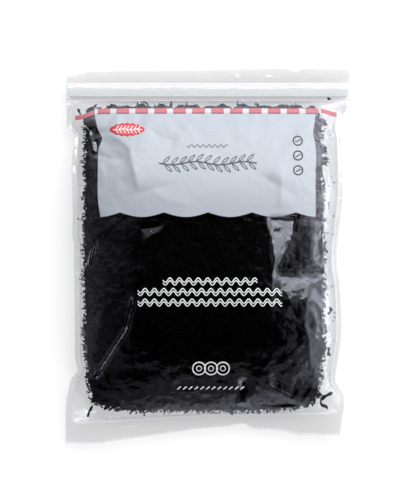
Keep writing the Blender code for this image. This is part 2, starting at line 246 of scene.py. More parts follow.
@dataclass(frozen=True)
class PouchForm:
    """The pouch's shape, which every piece is fitted to: its outline and the films' heights.

    The edges are points from the photograph's outline. Each dent has its height in the taut middle, how
    much more it has near the welds, its size and which noise it reads. So has the crackle, whose noise
    is folded into crests. Pairs such as loose_below are ranges of fullness or of distance.
    """

    left_edge: Points = (
        (-142.6, -187.9), (-142.6, -160.2), (-136.9, -123.8), (-130.2, -115.2), (-132.6, -100.9),
        (-132.6, -64.5), (-133.1, 8.1), (-135.0, 22.5), (-134.5, 36.8), (-135.0, 65.5),
        (-135.9, 83.5), (-134.0, 120.9), (-141.2, 129.5), (-141.7, 178.3),
    )
    right_edge: Points = (
        (132.4, -180.3), (137.0, -142.1), (127.8, -124.7), (133.4, -74.5), (131.4, -26.3),
        (129.3, -16.1), (128.3, -0.8), (134.4, 55.5), (135.0, 65.5), (133.9, 115.9),
        (131.9, 130.2), (141.6, 154.7), (142.6, 187.8),
    )
    foot_edge: Points = (
        (-142.6, -187.9), (-119.2, -188.4), (-90.5, -185.0), (-36.9, -177.4), (1.1, -172.6),
        (16.6, -171.6), (35.0, -168.5), (45.1, -173.7), (73.7, -175.7), (94.1, -179.8),
        (132.4, -180.3),
    )
    head_edge: Points = (
        (-141.7, 178.3), (-132.9, 181.0), (-109.9, 185.0), (1.1, 186.5), (53.1, 188.4),
        (142.6, 187.8),
    )
    foot_weld: Points = ((-142.6, -169.5), (-85.0, -164.5), (1.1, -160.0), (133.0, -157.5))
    side_weld: float = 5.0
    zip_y: float = 163.5
    zip_half_height: float = 1.7
    ridge_half_width: float = 5.5
    ridge_flank: float = 3.0
    seam_at_ends: float = 9.0
    seam_at_middle: float = 22.0
    seam_foot_y: float = -160.0
    seam_head_y: float = 152.0
    seam_ramp: float = 0.35
    front_rise: float = 32.5
    back_drop: float = 32.0
    rise_across: float = 3.0
    rise_along: float = 3.6
    rise_rounding: float = 0.65
    lift_off: float = 3.0
    rest_height: float = 0.5
    gap: float = 0.3
    loose_below: tuple[float, float] = (0.02, 0.25)
    off_zip: tuple[float, float] = (8.5, 15.0)
    ripples: Triples = ((0.9, 19.0, 3.0), (0.35, 6.0, 5.0))
    pleat_height: float = 0.5
    pleat_size: float = 23.0
    pleat_squeeze: float = 2.0
    weld_bead: float = 0.5
    weld_bead_width: float = 1.3
    taut_above: tuple[float, float] = (0.05, 0.35)
    edge_below: tuple[float, float] = (0.70, 0.97)
    dents: tuple[tuple[float, float, float, float], ...] = (
        (0.04, 0.20, 5.0, 11.0), (0.25, 0.75, 24.0, 17.0))
    crackle: tuple[float, float, float, float] = (0.04, 0.42, 15.0, 29.0)
    folds: tuple[Crease | Facet, ...] = ()
    margin_folds: tuple[Crease, ...] = ()
    calming: float = 0.75
    solving_steps: int = 6

    def column_x(self, column: np.ndarray, y: np.ndarray) -> np.ndarray:
        """Give X of film columns.

        Args:
            column: Places that count the stops: 0 left edge, 1 left weld, 2 right weld, 3 right edge.
            y: The points' Y.

        Returns:
            X at each point.
        """
        left = smooth_through(self.left_edge, y, flip=True)
        right = smooth_through(self.right_edge, y, flip=True)
        stops = (left, left + self.side_weld, right - self.side_weld, right)
        return self._between(column, stops)

    def row_y(self, row: np.ndarray, x: np.ndarray) -> np.ndarray:
        """Give Y of film rows.

        Args:
            row: Places that count the stops: 0 foot edge, 1 foot weld, 2 to 5 the zip's ridge,
                6 head edge.
            x: The points' X.

        Returns:
            Y at each point.
        """
        ridge = self.ridge_half_width
        flank = ridge + self.ridge_flank
        level = np.ones_like(x) * self.zip_y
        stops = (
            smooth_through(self.foot_edge, x), smooth_through(self.foot_weld, x), level - flank,
            level - ridge, level + ridge, level + flank, smooth_through(self.head_edge, x),
        )
        return self._between(row, stops)

    @staticmethod
    def _between(place: np.ndarray, stops: Sequence[np.ndarray]) -> np.ndarray:
        """Blend between numbered stops.

        Args:
            place: Places that count the stops.
            stops: The value at each stop.

        Returns:
            The blended values.
        """
        table = np.stack([np.broadcast_to(stop, np.shape(place)) for stop in stops])
        low = np.clip(np.floor(place).astype(int), 0, len(stops) - 2)
        share = place - low
        first = np.take_along_axis(table, low[None], axis=0)[0]
        second = np.take_along_axis(table, low[None] + 1, axis=0)[0]
        return first * (1.0 - share) + second * share

    def film_points(self, column: np.ndarray, row: np.ndarray) -> tuple[np.ndarray, np.ndarray]:
        """Find where film columns and rows cross, in turns because each edge bends with the other.

        Args:
            column: The columns' places.
            row: The rows' places.

        Returns:
            X and Y of the crossings.
        """
        x = np.zeros_like(column)
        y = np.zeros_like(row)
        for _ in range(self.solving_steps):
            y = self.row_y(row, x)
            x = self.column_x(column, y)
        return x, y

    def pocket_share(self, x: np.ndarray, y: np.ndarray) -> tuple[np.ndarray, np.ndarray]:
        """Tell how far points are across and along the pocket.

        Args:
            x: The points' X.
            y: The points' Y.

        Returns:
            The shares across and along, from 0 to 1 inside the pocket.
        """
        left = smooth_through(self.left_edge, y, flip=True) + self.side_weld
        right = smooth_through(self.right_edge, y, flip=True) - self.side_weld
        foot = smooth_through(self.foot_weld, x)
        head = self.zip_y - self.ridge_half_width - self.ridge_flank
        return (x - left) / (right - left), (y - foot) / (head - foot)

    def fullness(self, x: np.ndarray, y: np.ndarray) -> np.ndarray:
        """Tell how full the pocket is, from 0 at its welds to 1."""
        across, along = self.pocket_share(x, y)
        return self._dome(across, self.rise_across) * self._dome(along, self.rise_along)

    def _dome(self, share: np.ndarray, power: float) -> np.ndarray:
        """Rise from 0 at the ends of a span to 1 in its middle."""
        away = np.minimum(np.abs(2.0 * share - 1.0), 1.0)
        return (1.0 - away ** power) ** self.rise_rounding

    def seam(self, y: np.ndarray) -> np.ndarray:
        """Give the height at which the two films meet.

        Args:
            y: The points' Y.

        Returns:
            The height at each point.
        """
        share = (y - self.seam_foot_y) / (self.seam_head_y - self.seam_foot_y)
        ramp = smooth_step(0.0, self.seam_ramp, np.minimum(share, 1.0 - share))
        return self.seam_at_ends + (self.seam_at_middle - self.seam_at_ends) * ramp

    def zip_room(self, y: np.ndarray) -> np.ndarray:
        """Tell how far each film stands off the seam to pass over the zip.

        Args:
            y: The points' Y.

        Returns:
            The distance at each point.
        """
        away = np.abs(y - self.zip_y) - self.ridge_half_width
        share = np.clip(1.0 - away / self.ridge_flank, 0.0, 1.0)
        return (self.zip_half_height + self.gap / 2.0) * share

    def ripple(self, x: np.ndarray, y: np.ndarray) -> np.ndarray:
        """Work out the waves that both films share in the welded margins and the header.

        Args:
            x: The points' X.
            y: The points' Y.

        Returns:
            Their height at each point, with the bead along the foot's weld.
        """
        loose = 1.0 - smooth_step(*self.loose_below, self.fullness(x, y))
        off_zip = smooth_step(*self.off_zip, np.abs(y - self.zip_y))
        waves = layered(x, y, self.ripples)
        waves += self.pleat_height * ridged(x, y * self.pleat_squeeze, self.pleat_size, 7.0)
        weld_line = np.exp(-((y - smooth_through(self.foot_weld, x)) / self.weld_bead_width) ** 2)
        waves += sum((fold.height(x, y) for fold in self.margin_folds), np.zeros_like(x))
        return loose * off_zip * waves + self.weld_bead * weld_line

    def crumple(self, x: np.ndarray, y: np.ndarray) -> np.ndarray:
        """Work out the front film's own folds and the dents of the shreds behind it.

        Args:
            x: The points' X.
            y: The points' Y.

        Returns:
            Their height at each point, with fewer dents where a facet is pulled flat.
        """
        full = self.fullness(x, y)
        taut = smooth_step(*self.taut_above, full)
        edge = 1.0 - smooth_step(*self.edge_below, full)
        dents = np.zeros_like(x)
        for read, kinds in ((noise_field, self.dents), (ridged, (self.crackle,))):
            for middle, nearer, size, layer in kinds:
                dents += read(x, y, size, layer) * (middle + nearer * edge)
        calm = np.zeros_like(x)
        folds = np.zeros_like(x)
        for fold in self.folds:
            folds += fold.height(x, y)
            if isinstance(fold, Facet):
                calm = np.maximum(calm, fold.cover(x, y))
        return taut * (dents * (1.0 - self.calming * calm) + folds)

    def front(self, x: np.ndarray, y: np.ndarray) -> np.ndarray:
        """Give the height of the front film's inner face."""
        flat = self.seam(y) + self.gap / 2.0 + self.zip_room(y) + self.ripple(x, y)
        return flat + self.front_rise * self.fullness(x, y) + self.crumple(x, y)

    def back(self, x: np.ndarray, y: np.ndarray) -> np.ndarray:
        """Work out the height of the back film's inner face, flat where the pouch rests.

        Args:
            x: The points' X.
            y: The points' Y.

        Returns:
            The height at each point.
        """
        drop = self.zip_room(y) + self.back_drop * self.fullness(x, y)
        free = self.seam(y) - self.gap / 2.0 - drop + self.ripple(x, y) - self.rest_height
        soft = (np.maximum(free + self.lift_off, 0.0)) ** 2 / (4.0 * self.lift_off)
        return self.rest_height + np.where(free > self.lift_off, free, soft)


@dataclass(frozen=True)
class PhotoView:
    """How the photograph looks at the pouch: straight down, from a long way off."""

    width: int = 400
    height: int = 500
    aim_x: float = -7.9
    aim_y: float = 5.5
    distance: float = 2200.0
    outline_height: float = 12.0

    def place(self, x: float, y: float, height: float = 12.0) -> tuple[float, float]:
        """Turn a pixel of the photograph into a place on the pouch.

        Args:
            x: Pixels from the photograph's left side.
            y: Pixels down from its top.
            height: How high over the floor the place lies, which the lens makes larger.

        Returns:
            X and Y, where one pixel is one millimetre at the outline's height.
        """
        scale = (self.distance - (height - self.outline_height)) / self.distance
        right = (x - self.width / 2.0) * scale
        up = (self.height / 2.0 - y) * scale
        return self.aim_x + right, self.aim_y + up


VIEW = PhotoView()
FILM_TOP = 50.0


def on_film(*pixels: tuple[float, float]) -> Points:
    """Turn pixels of the photograph into places on top of the front film."""
    return tuple(VIEW.place(x, y, FILM_TOP) for x, y in pixels)


FOLDS: tuple[Crease | Facet, ...] = (
    Crease(on_film((103, 132), (119, 139), (129, 148), (132, 163), (139, 192)), 3.0, 20.0, 5.0),
    Crease(on_film((100, 166), (114, 158), (128, 160)), -1.3, 6.0, 9.0),
    Crease(on_film((147, 126), (158, 135), (176, 142)), -1.4, 6.0, 6.0),
    Crease(on_film((314, 118), (290, 148), (270, 180)), 2.8, 20.0, 7.0),
    Crease(on_film((282, 164), (281, 208)), 1.5, 6.0, 6.0),
    Crease(on_film((150, 188), (166, 200), (190, 204)), 0.8, 6.0, 8.0),
    Facet(on_film((268, 216), (270, 252), (273, 269), (293, 235), (298, 216)), (-0.08, -0.21)),
    Facet(on_film((272, 224), (274, 234), (282, 236), (280, 226)), (0.02, 0.18), 2.0),
    Facet(on_film((283, 266), (320, 266), (320, 226), (302, 228), (295, 238)), (0.12, 0.0), 9.0, 0.8),
    Crease(on_film((273, 271), (298, 272), (326, 271)), -3.4, 4.0, 18.0),
    Facet(on_film((276, 274), (287, 304), (318, 304), (320, 275)), (0.0, -0.07), 7.0),
    Facet(on_film((141, 227), (145, 244), (161, 232), (163, 223)), (0.03, -0.21), 2.5),
    Facet(
        on_film((240, 380), (239, 393), (238, 406), (250, 408), (249, 393), (248, 380)),
        (0.0, -0.31), 3.5),
    Facet(on_film((255, 381), (250, 398), (262, 410), (300, 408)), (-0.06, 0.06)),
    Crease(on_film((252, 373), (271, 388), (308, 407)), 2.4, 3.5, 9.0),
    Facet(on_film((124, 330), (129, 330), (136, 298), (131, 298)), (-0.85, 0.25), 1.6),
    Facet(on_film((92, 377), (97, 380), (129, 331), (124, 328)), (-0.85, 0.58), 1.6),
    Facet(on_film((87, 264), (91, 264), (97, 241), (93, 241)), (-1.5, 0.2), 1.2),
    Crease(on_film((310, 280), (305, 320), (312, 360)), 1.0, 5.0, 6.0),
    Facet(on_film((84, 126), (84, 134), (93, 135), (93, 127)), (-0.75, -0.15), 2.0),
    Facet(on_film((90, 139), (91, 153), (98, 151), (97, 139)), (-0.65, -0.15), 2.0),
    Crease(on_film((88, 151), (99, 154), (111, 159)), -1.2, 2.5, 5.0),
)

MARGIN_FOLDS: tuple[Crease, ...] = tuple(
    Crease(tuple(VIEW.place(x, y) for x, y in pixels), rise, width, width)
    for pixels, rise, width in (
        (((248, 412), (284, 417), (332, 408)), 0.7, 1.6),
        (((300, 404), (318, 403), (337, 399)), 0.6, 1.8),
        (((90, 404), (96, 411), (97, 418)), 1.8, 1.3),
        (((96, 403), (103, 409), (108, 416)), -1.8, 1.3),
        (((93, 420), (101, 416), (110, 421)), 1.6, 1.2),
        (((84, 406), (88, 416), (95, 424)), 1.3, 1.6),
        (((100, 408), (99, 415), (104, 424)), 1.6, 1.1),
        (((110, 426), (134, 424), (163, 420)), -0.6, 1.3),
        (((194, 84), (203, 79), (212, 76)), 0.6, 1.8),
        (((211, 82), (222, 79), (229, 80)), 0.5, 1.6),
        (((230, 85), (236, 79), (243, 76)), 0.35, 1.8),
        (((262, 83), (271, 77), (283, 86)), 0.6, 1.8),
        (((66, 82), (78, 78), (84, 70)), 0.7, 2.4),
        (((324, 76), (333, 82), (345, 84)), 0.7, 2.4),
        (((74, 140), (79, 170), (76, 205)), 1.0, 2.2),
        (((334, 215), (331, 262), (334, 300)), 0.6, 2.0),
        (((336, 130), (333, 165), (337, 200)), 0.6, 2.0),
        (((74, 250), (77, 300), (75, 340)), 1.0, 2.2),
        (((300, 424), (304, 430), (305, 437)), 0.3, 1.4),
        (((314, 424), (318, 430), (319, 437)), 0.3, 1.4),
    )
)


class MeshMaker:
    """Turns arrays of millimetres into objects in metres, in one collection, and finishes them."""

    def __init__(self) -> None:
        """Make the collection that the dressed pieces go in."""
        self.collection = bpy.data.collections.new("wakame_pouch_dressed")
        bpy.context.scene.collection.children.link(self.collection)

    def add(self, name: str, mesh: bpy.types.Mesh) -> bpy.types.Object:
        """Put a mesh that is already in metres in an object at the origin.

        Args:
            name: The object's name.
            mesh: Its mesh.

        Returns:
            The new object.
        """
        piece = bpy.data.objects.new(name, mesh)
        self.collection.objects.link(piece)
        return piece

    def from_faces(self, name: str, points: np.ndarray, faces: Sequence[Sequence[int]],
                   smooth: bool = True) -> bpy.types.Object:
        """Make an object from points in millimetres and faces.

        Args:
            name: The object's name.
            points: Rows of X, Y and Z.
            faces: The points of each face, in order.
            smooth: Shade the faces smooth.

        Returns:
            The new object.
        """
        mesh = bpy.data.meshes.new(name)
        mesh.from_pydata((np.asarray(points) * MM).tolist(), [], [list(face) for face in faces])
        mesh.validate()
        if smooth:
            mesh.shade_smooth()
        return self.add(name, mesh)

    def from_grid(self, name: str, x: np.ndarray, y: np.ndarray, z: np.ndarray) -> bpy.types.Object:
        """Make a sheet from grids whose first axis is the rows.

        Args:
            name: The object's name.
            x: The grid's X.
            y: Its Y.
            z: Its Z.

        Returns:
            The new object.
        """
        rows, columns = x.shape
        index = np.arange(rows * columns).reshape(rows, columns)
        corners = (index[:-1, :-1], index[:-1, 1:], index[1:, 1:], index[1:, :-1])
        faces = np.stack([corner.ravel() for corner in corners], axis=1)
        points = np.stack((x.ravel(), y.ravel(), z.ravel()), axis=1)
        return self.from_faces(name, points, faces.tolist())

    def from_rings(self, name: str, rings: Sequence[np.ndarray], flip: bool) -> bpy.types.Object:
        """Make a band from closed rings, each joined to the next.

        Args:
            name: The object's name.
            rings: Rows of X, Y and Z for each ring, all with as many points.
            flip: Whether the band's faces look the other way.

        Returns:
            The new object.
        """
        count = len(rings[0])
        faces = []
        for low in range(0, count * (len(rings) - 1), count):
            for i in range(count):
                j = (i + 1) % count
                face = (low + i, low + j, low + count + j, low + count + i)
                faces.append(face[:1] + face[:0:-1] if flip else face)
        return self.from_faces(name, np.concatenate(rings), faces)


def baked(piece: bpy.types.Object) -> bpy.types.Mesh:
    """Give an object's mesh as its modifiers leave it.

    Args:
        piece: The object, which stays as it is.

    Returns:
        A plain mesh.
    """
    bpy.context.view_layer.update()
    graph = bpy.context.evaluated_depsgraph_get()
    return bpy.data.meshes.new_from_object(piece.evaluated_get(graph))


def thicken(piece: bpy.types.Object, thickness: float, offset: float) -> None:
    """Turn a sheet into a thin closed wall.

    Args:
        piece: The sheet's object, whose mesh is replaced.
        thickness: The wall's thickness, in millimetres.
        offset: 1 to grow along the normals, 0 to grow half to each side.
    """
    wall = piece.modifiers.new("wall", "SOLIDIFY")
    wall.thickness = thickness * MM
    wall.offset = offset
    mesh = baked(piece)
    piece.modifiers.clear()
    old = piece.data
    piece.data = mesh
    bpy.data.meshes.remove(old)


def dress(piece: bpy.types.Object, material: bpy.types.Material | None = None,
          node: str = "") -> None:
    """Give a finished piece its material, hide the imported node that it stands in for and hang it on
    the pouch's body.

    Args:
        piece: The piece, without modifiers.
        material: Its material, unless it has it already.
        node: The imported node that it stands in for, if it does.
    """
    if material:
        piece.data.materials.append(material)
    if node:
        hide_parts(node)
    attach(piece, BODY)


class NodeTree:
    """A thin hand for building shader or geometry trees in order."""

    def __init__(self, tree: bpy.types.NodeTree) -> None:
        """Take an empty tree to build in."""
        self.tree = tree
        self.step = 0

    def node(self, kind: str, settings: dict[str, object] | None = None,
             **inputs: object) -> bpy.types.Node:
        """Add a node and fill its inputs.

        Args:
            kind: Blender's name for the node.
            settings: Values for the node's own properties.
            inputs: Values or sockets for its inputs, by name with _ for each space.

        Returns:
            The new node.
        """
        made = self.tree.nodes.new(kind)
        made.location = (220.0 * (self.step % 12), -260.0 * (self.step // 12))
        self.step += 1
        for key, value in (settings or {}).items():
            setattr(made, key, value)
        for key, value in inputs.items():
            self.feed(self._input(made, key), value)
        return made

    @staticmethod
    def _input(made: bpy.types.Node, key: str) -> bpy.types.NodeSocket:
        """Find an input.

        Args:
            made: The node.
            key: The input's number, as in_0, or its name with _ for each space.

        Returns:
            The input's socket.
        """
        if key.startswith("in_"):
            return made.inputs[int(key[3:])]
        return made.inputs[key.replace("_", " ")]

    def feed(self, socket: bpy.types.NodeSocket, value: object) -> None:
        """Fill an input.

        Args:
            socket: The input.
            value: A socket to link into it, or a value to set it to.
        """
        if isinstance(value, bpy.types.NodeSocket):
            self.tree.links.new(value, socket)
        else:
            socket.default_value = value

    def math(self, operation: str, *values: object, clamp: bool = False) -> bpy.types.NodeSocket:
        """Add a Math node.

        Args:
            operation: Blender's name for the sum.
            values: Up to three values or sockets.
            clamp: Whether the result is kept from 0 to 1.

        Returns:
            The result's socket.
        """
        made = self.node("ShaderNodeMath", {"operation": operation, "use_clamp": clamp})
        for socket, value in zip(made.inputs, values):
            self.feed(socket, value)
        return made.outputs[0]

    def product(self, *values: object) -> bpy.types.NodeSocket:
        """Multiply two or more values.

        Args:
            values: The values or sockets.

        Returns:
            The result's socket.
        """
        result = values[0]
        for value in values[1:]:
            result = self.math("MULTIPLY", result, value)
        return result

    def solid(self, **inputs: object) -> bpy.types.NodeSocket:
        """Add the shader of a solid surface, whose inputs are filled by name."""
        return self.node("ShaderNodeBsdfPrincipled", **inputs).outputs[0]

    def mix_shader(self, share: object, low: object, high: object) -> bpy.types.NodeSocket:
        """Blend two shaders, with a share of the second."""
        return self.node("ShaderNodeMixShader", in_0=share, in_1=low, in_2=high).outputs[0]

    def bump(self, strength: float, depth: float, height: object) -> bpy.types.NodeSocket:
        """Bump the normal by a height, whose full depth is in millimetres."""
        made = self.node("ShaderNodeBump", Strength=strength, Distance=depth * MM, Height=height)
        return made.outputs[0]

    def mix_colour(self, share: object, low: object, high: object) -> bpy.types.NodeSocket:
        """Blend two colours.

        Args:
            share: How much of the second there is.
            low: The first colour or its socket.
            high: The second.

        Returns:
            The blended colour's socket.
        """
        made = self.node("ShaderNodeMix", {"data_type": "RGBA"})
        self.feed(made.inputs["Factor"], share)
        self.feed(made.inputs[6], low if isinstance(low, bpy.types.NodeSocket) else (*low, 1.0))
        self.feed(made.inputs[7], high if isinstance(high, bpy.types.NodeSocket) else (*high, 1.0))
        return made.outputs[2]

    def ramp(self, value: object, low: float, high: float) -> bpy.types.NodeSocket:
        """Rise smoothly from 0 to 1 between two levels.

        Args:
            value: The value or socket that is looked at.
            low: The level that gives 0.
            high: The level that gives 1.

        Returns:
            The result's socket.
        """
        made = self.node("ShaderNodeMapRange", {"interpolation_type": "SMOOTHSTEP"})
        for key, given in (("Value", value), ("From Min", low), ("From Max", high)):
            self.feed(made.inputs[key], given)
        return made.outputs[0]


class Finish:
    """A material with an empty tree, and the hand that builds it."""

    def __init__(self, name: str) -> None:
        """Make the material and clear its tree.

        Args:
            name: The material's name.
        """
        self.material = bpy.data.materials.new(name)
        self.material.use_nodes = True
        tree = self.material.node_tree
        tree.nodes.clear()
        self.hand = NodeTree(tree)

    def surface(self, shader: bpy.types.NodeSocket) -> bpy.types.Material:
        """Link the finished shader and give the material."""
        self.hand.node("ShaderNodeOutputMaterial", Surface=shader)
        return self.material

    def place(self) -> tuple[bpy.types.NodeSocket, bpy.types.NodeSocket, bpy.types.NodeSocket]:
        """Read the place on the piece, in millimetres.

        Returns:
            The whole vector, its X and its Y.
        """
        at = self.hand.node("ShaderNodeTexCoord").outputs["Object"]
        scaled = self.hand.node("ShaderNodeVectorMath", {"operation": "SCALE"}, in_0=at, Scale=1.0 / MM)
        parts = self.hand.node("ShaderNodeSeparateXYZ", Vector=scaled.outputs[0])
        return scaled.outputs[0], parts.outputs[0], parts.outputs[1]

    def noise(self, vector: bpy.types.NodeSocket, size: float, detail: float,
              roughness: float = 0.5) -> bpy.types.NodeSocket:
        """Add procedural noise.

        Args:
            vector: The place on the piece.
            size: About how many millimetres its features measure.
            detail: How many finer layers it has.
            roughness: How much they count.

        Returns:
            The noise's socket.
        """
        made = self.hand.node(
            "ShaderNodeTexNoise", Vector=vector, Scale=1.0 / size, Detail=detail, Roughness=roughness)
        return made.outputs[0]


@dataclass(frozen=True)
class FilmFinish:
    """Clear glossy film: mostly see-through, with a cool mirror's gloss."""

    name: str = "clear_film_finish"
    tint: Colour = (0.98, 0.98, 0.98)
    gloss: float = 0.045
    slant_tint: Colour = (0.80, 0.80, 0.81)
    slant_power: float = 1.5
    sheen: Colour = (0.85, 0.85, 1.0)
    roughness: float = 0.12
    edge_power: float = 4.0
    edge_gloss: float = 0.85
    fine_crinkle: float = 3.5
    fine_share: float = 0.10
    wide_crinkle: float = 8.0
    crinkle_depth: float = 1.2
    crinkle_strength: float = 0.5

    def clear_shader(self, finish: Finish, bump: bpy.types.NodeSocket) -> bpy.types.NodeSocket:
        """Build the see-through part: a clear pass mixed with gloss that grows at a slant.

        Args:
            finish: The material being built.
            bump: The bumped normal.

        Returns:
            The shader.
        """
        hand = finish.hand
        facing = hand.node("ShaderNodeLayerWeight", Normal=bump).outputs["Facing"]
        thicker = hand.math("POWER", facing, self.slant_power)
        clear = hand.node(
            "ShaderNodeBsdfTransparent", Color=hand.mix_colour(thicker, self.tint, self.slant_tint))
        mirror = hand.solid(
            Base_Color=(*self.sheen, 1.0), Metallic=1.0, Roughness=self.roughness, Normal=bump)
        slant = hand.math("POWER", facing, self.edge_power)
        share = hand.math("ADD", hand.product(slant, self.edge_gloss), self.gloss, clamp=True)
        return hand.mix_shader(share, clear.outputs[0], mirror)

    def crinkle(self, finish: Finish, vector: bpy.types.NodeSocket,
                strength: float) -> bpy.types.NodeSocket:
        """Build the fine crinkle of stiff film over shreds.

        Args:
            finish: The material being built.
            vector: The place on the piece.
            strength: How strong the crinkle is.

        Returns:
            The bumped normal.
        """
        hand = finish.hand
        fine = finish.noise(vector, self.fine_crinkle, 1.0)
        wide = finish.noise(vector, self.wide_crinkle, 1.0)
        height = hand.math("ADD", hand.product(fine, self.fine_share), wide)
        return hand.bump(strength, self.crinkle_depth, height)

    def build(self) -> bpy.types.Material:
        """Build the plain clear film.

        Returns:
            The material.
        """
        finish = Finish(self.name)
        vector, _, _ = finish.place()
        bump = self.crinkle(finish, vector, self.crinkle_strength)
        return finish.surface(self.clear_shader(finish, bump))


@dataclass(frozen=True)
class PrintedFilmFinish(FilmFinish):
    """The front film: clear film with a pale printed panel and a red stripe on it."""

    name: str = "printed_film_finish"
    panel_left: float = -109.0
    panel_right: float = 106.3
    panel_foot: float = 40.0
    panel_colour: Colour = (0.378, 0.412, 0.465)
    panel_cover: float = 0.97
    mottle_size: float = 30.0
    mottle: tuple[float, float] = (0.06, 0.97)
    scallop: float = 13.77
    scallop_height: float = 4.5
    scallop_rise: float = 2.5
    stripe_foot: float = 142.2
    stripe_head: float = 146.6
    stripe_left: float = -132.6
    stripe_right: float = 128.5
    whole_left: float = -113.8
    whole_right: float = 113.0
    stripe_colour: Colour = (0.47, 0.140, 0.165)
    stripe_white: Colour = (0.52, 0.53, 0.55)
    stripe_dark: Colour = (0.10, 0.07, 0.11)
    left_swells: Triples = (
        (116.0, 7.0, 4.0), (145.0, 16.0, -4.2), (36.0, 14.0, 2.8))
    right_swells: Triples = (
        (148.0, 8.0, 3.0), (122.0, 8.0, -1.8), (98.0, 10.0, 0.8))
    left_sag: float = 7.0
    left_sag_reach: tuple[float, float] = (-106.0, -131.0)
    right_sag: float = 3.5
    right_sag_reach: tuple[float, float] = (112.0, 128.0)
    bead: float = 6.0
    bead_gap: tuple[float, float] = (0.44, 0.54)
    underline: tuple[float, float] = (-1.2, 0.3)
    soft: float = 0.35
    ink_crinkle: float = 0.15
    ink_roughness: float = 0.32
    ink_shine: float = 0.3

    def band(self, hand: NodeTree, value: object, low: object, high: object) -> bpy.types.NodeSocket:
        """Mark the band between two levels, with soft ends.

        Args:
            hand: Builds the tree.
            value: What is looked at.
            low: The band's lower end.
            high: Its upper end.

        Returns:
            1 in the band and 0 outside it.
        """
        above = hand.math("SUBTRACT", value, low)
        below = hand.math("SUBTRACT", high, value)
        inside = hand.math("MINIMUM", above, below)
        return hand.ramp(inside, -self.soft, self.soft)

    @staticmethod
    def edge(hand: NodeTree, value: object, level: float, swells: Triples) -> bpy.types.NodeSocket:
        """Give a level with smooth humps on it.

        Args:
            hand: Builds the tree.
            value: What the humps follow.
            level: The level away from them.
            swells: Each hump's middle, width and height.

        Returns:
            The level's socket.
        """
        total = hand.math("ADD", 0.0, level)
        for middle, width, height in swells:
            away = hand.math("DIVIDE", hand.math("SUBTRACT", value, middle), width)
            square = hand.math("MULTIPLY", away, away)
            fall = hand.math("EXPONENT", hand.math("MULTIPLY", square, -1.0))
            total = hand.math("MULTIPLY_ADD", fall, height, total)
        return total

    def build(self) -> bpy.types.Material:
        """Build the printed front film: the panel, its stripe and the clear film round them.

        Returns:
            The material.
        """
        finish = Finish(self.name)
        hand = finish.hand
        vector, x, y = finish.place()
        left = self.edge(hand, y, self.panel_left, self.left_swells)
        right = self.edge(hand, y, self.panel_right, self.right_swells)
        foot_wave = hand.math("ABSOLUTE", hand.math("SINE", hand.math("DIVIDE", x, self.scallop)))
        foot = hand.math(
            "ADD", hand.product(foot_wave, -self.scallop_height), self.panel_foot + self.scallop_rise)
        columns = self.band(hand, x, left, right)
        panel = hand.product(columns, self.band(hand, y, foot, self.stripe_head))
        left_sag = hand.product(hand.ramp(x, *self.left_sag_reach), self.left_sag)
        right_sag = hand.product(hand.ramp(x, *self.right_sag_reach), self.right_sag)
        level = hand.math("ADD", y, hand.math("ADD", left_sag, right_sag))
        stripe_rows = self.band(hand, level, self.stripe_foot, self.stripe_head)
        beads = hand.math("ABSOLUTE", hand.math("SINE", hand.math("DIVIDE", x, self.bead)))
        beside = hand.math("SUBTRACT", 1.0, self.band(hand, x, self.whole_left, self.whole_right))
        dashes = hand.math("MAXIMUM", hand.ramp(beads, *self.bead_gap), beside)
        stripe = hand.product(
            stripe_rows, dashes, self.band(hand, x, self.stripe_left, self.stripe_right))
        under = self.band(hand, level, *(self.stripe_foot + part for part in self.underline))
        mottled = hand.math("MULTIPLY_ADD", finish.noise(vector, self.mottle_size, 2.0), *self.mottle)
        tone = hand.node("ShaderNodeHueSaturation", Value=mottled, Color=(*self.panel_colour, 1.0))
        colour = hand.mix_colour(stripe_rows, tone.outputs[0], self.stripe_white)
        colour = hand.mix_colour(hand.product(under, columns, dashes), colour, self.stripe_dark)
        colour = hand.mix_colour(stripe, colour, self.stripe_colour)
        ink = hand.solid(
            Base_Color=colour, Roughness=self.ink_roughness, Specular_IOR_Level=self.ink_shine,
            Normal=self.crinkle(finish, vector, self.ink_crinkle))
        clear = self.clear_shader(finish, self.crinkle(finish, vector, self.crinkle_strength))
        share = hand.math("MAXIMUM", hand.product(panel, self.panel_cover), stripe)
        return finish.surface(hand.mix_shader(share, clear, ink))


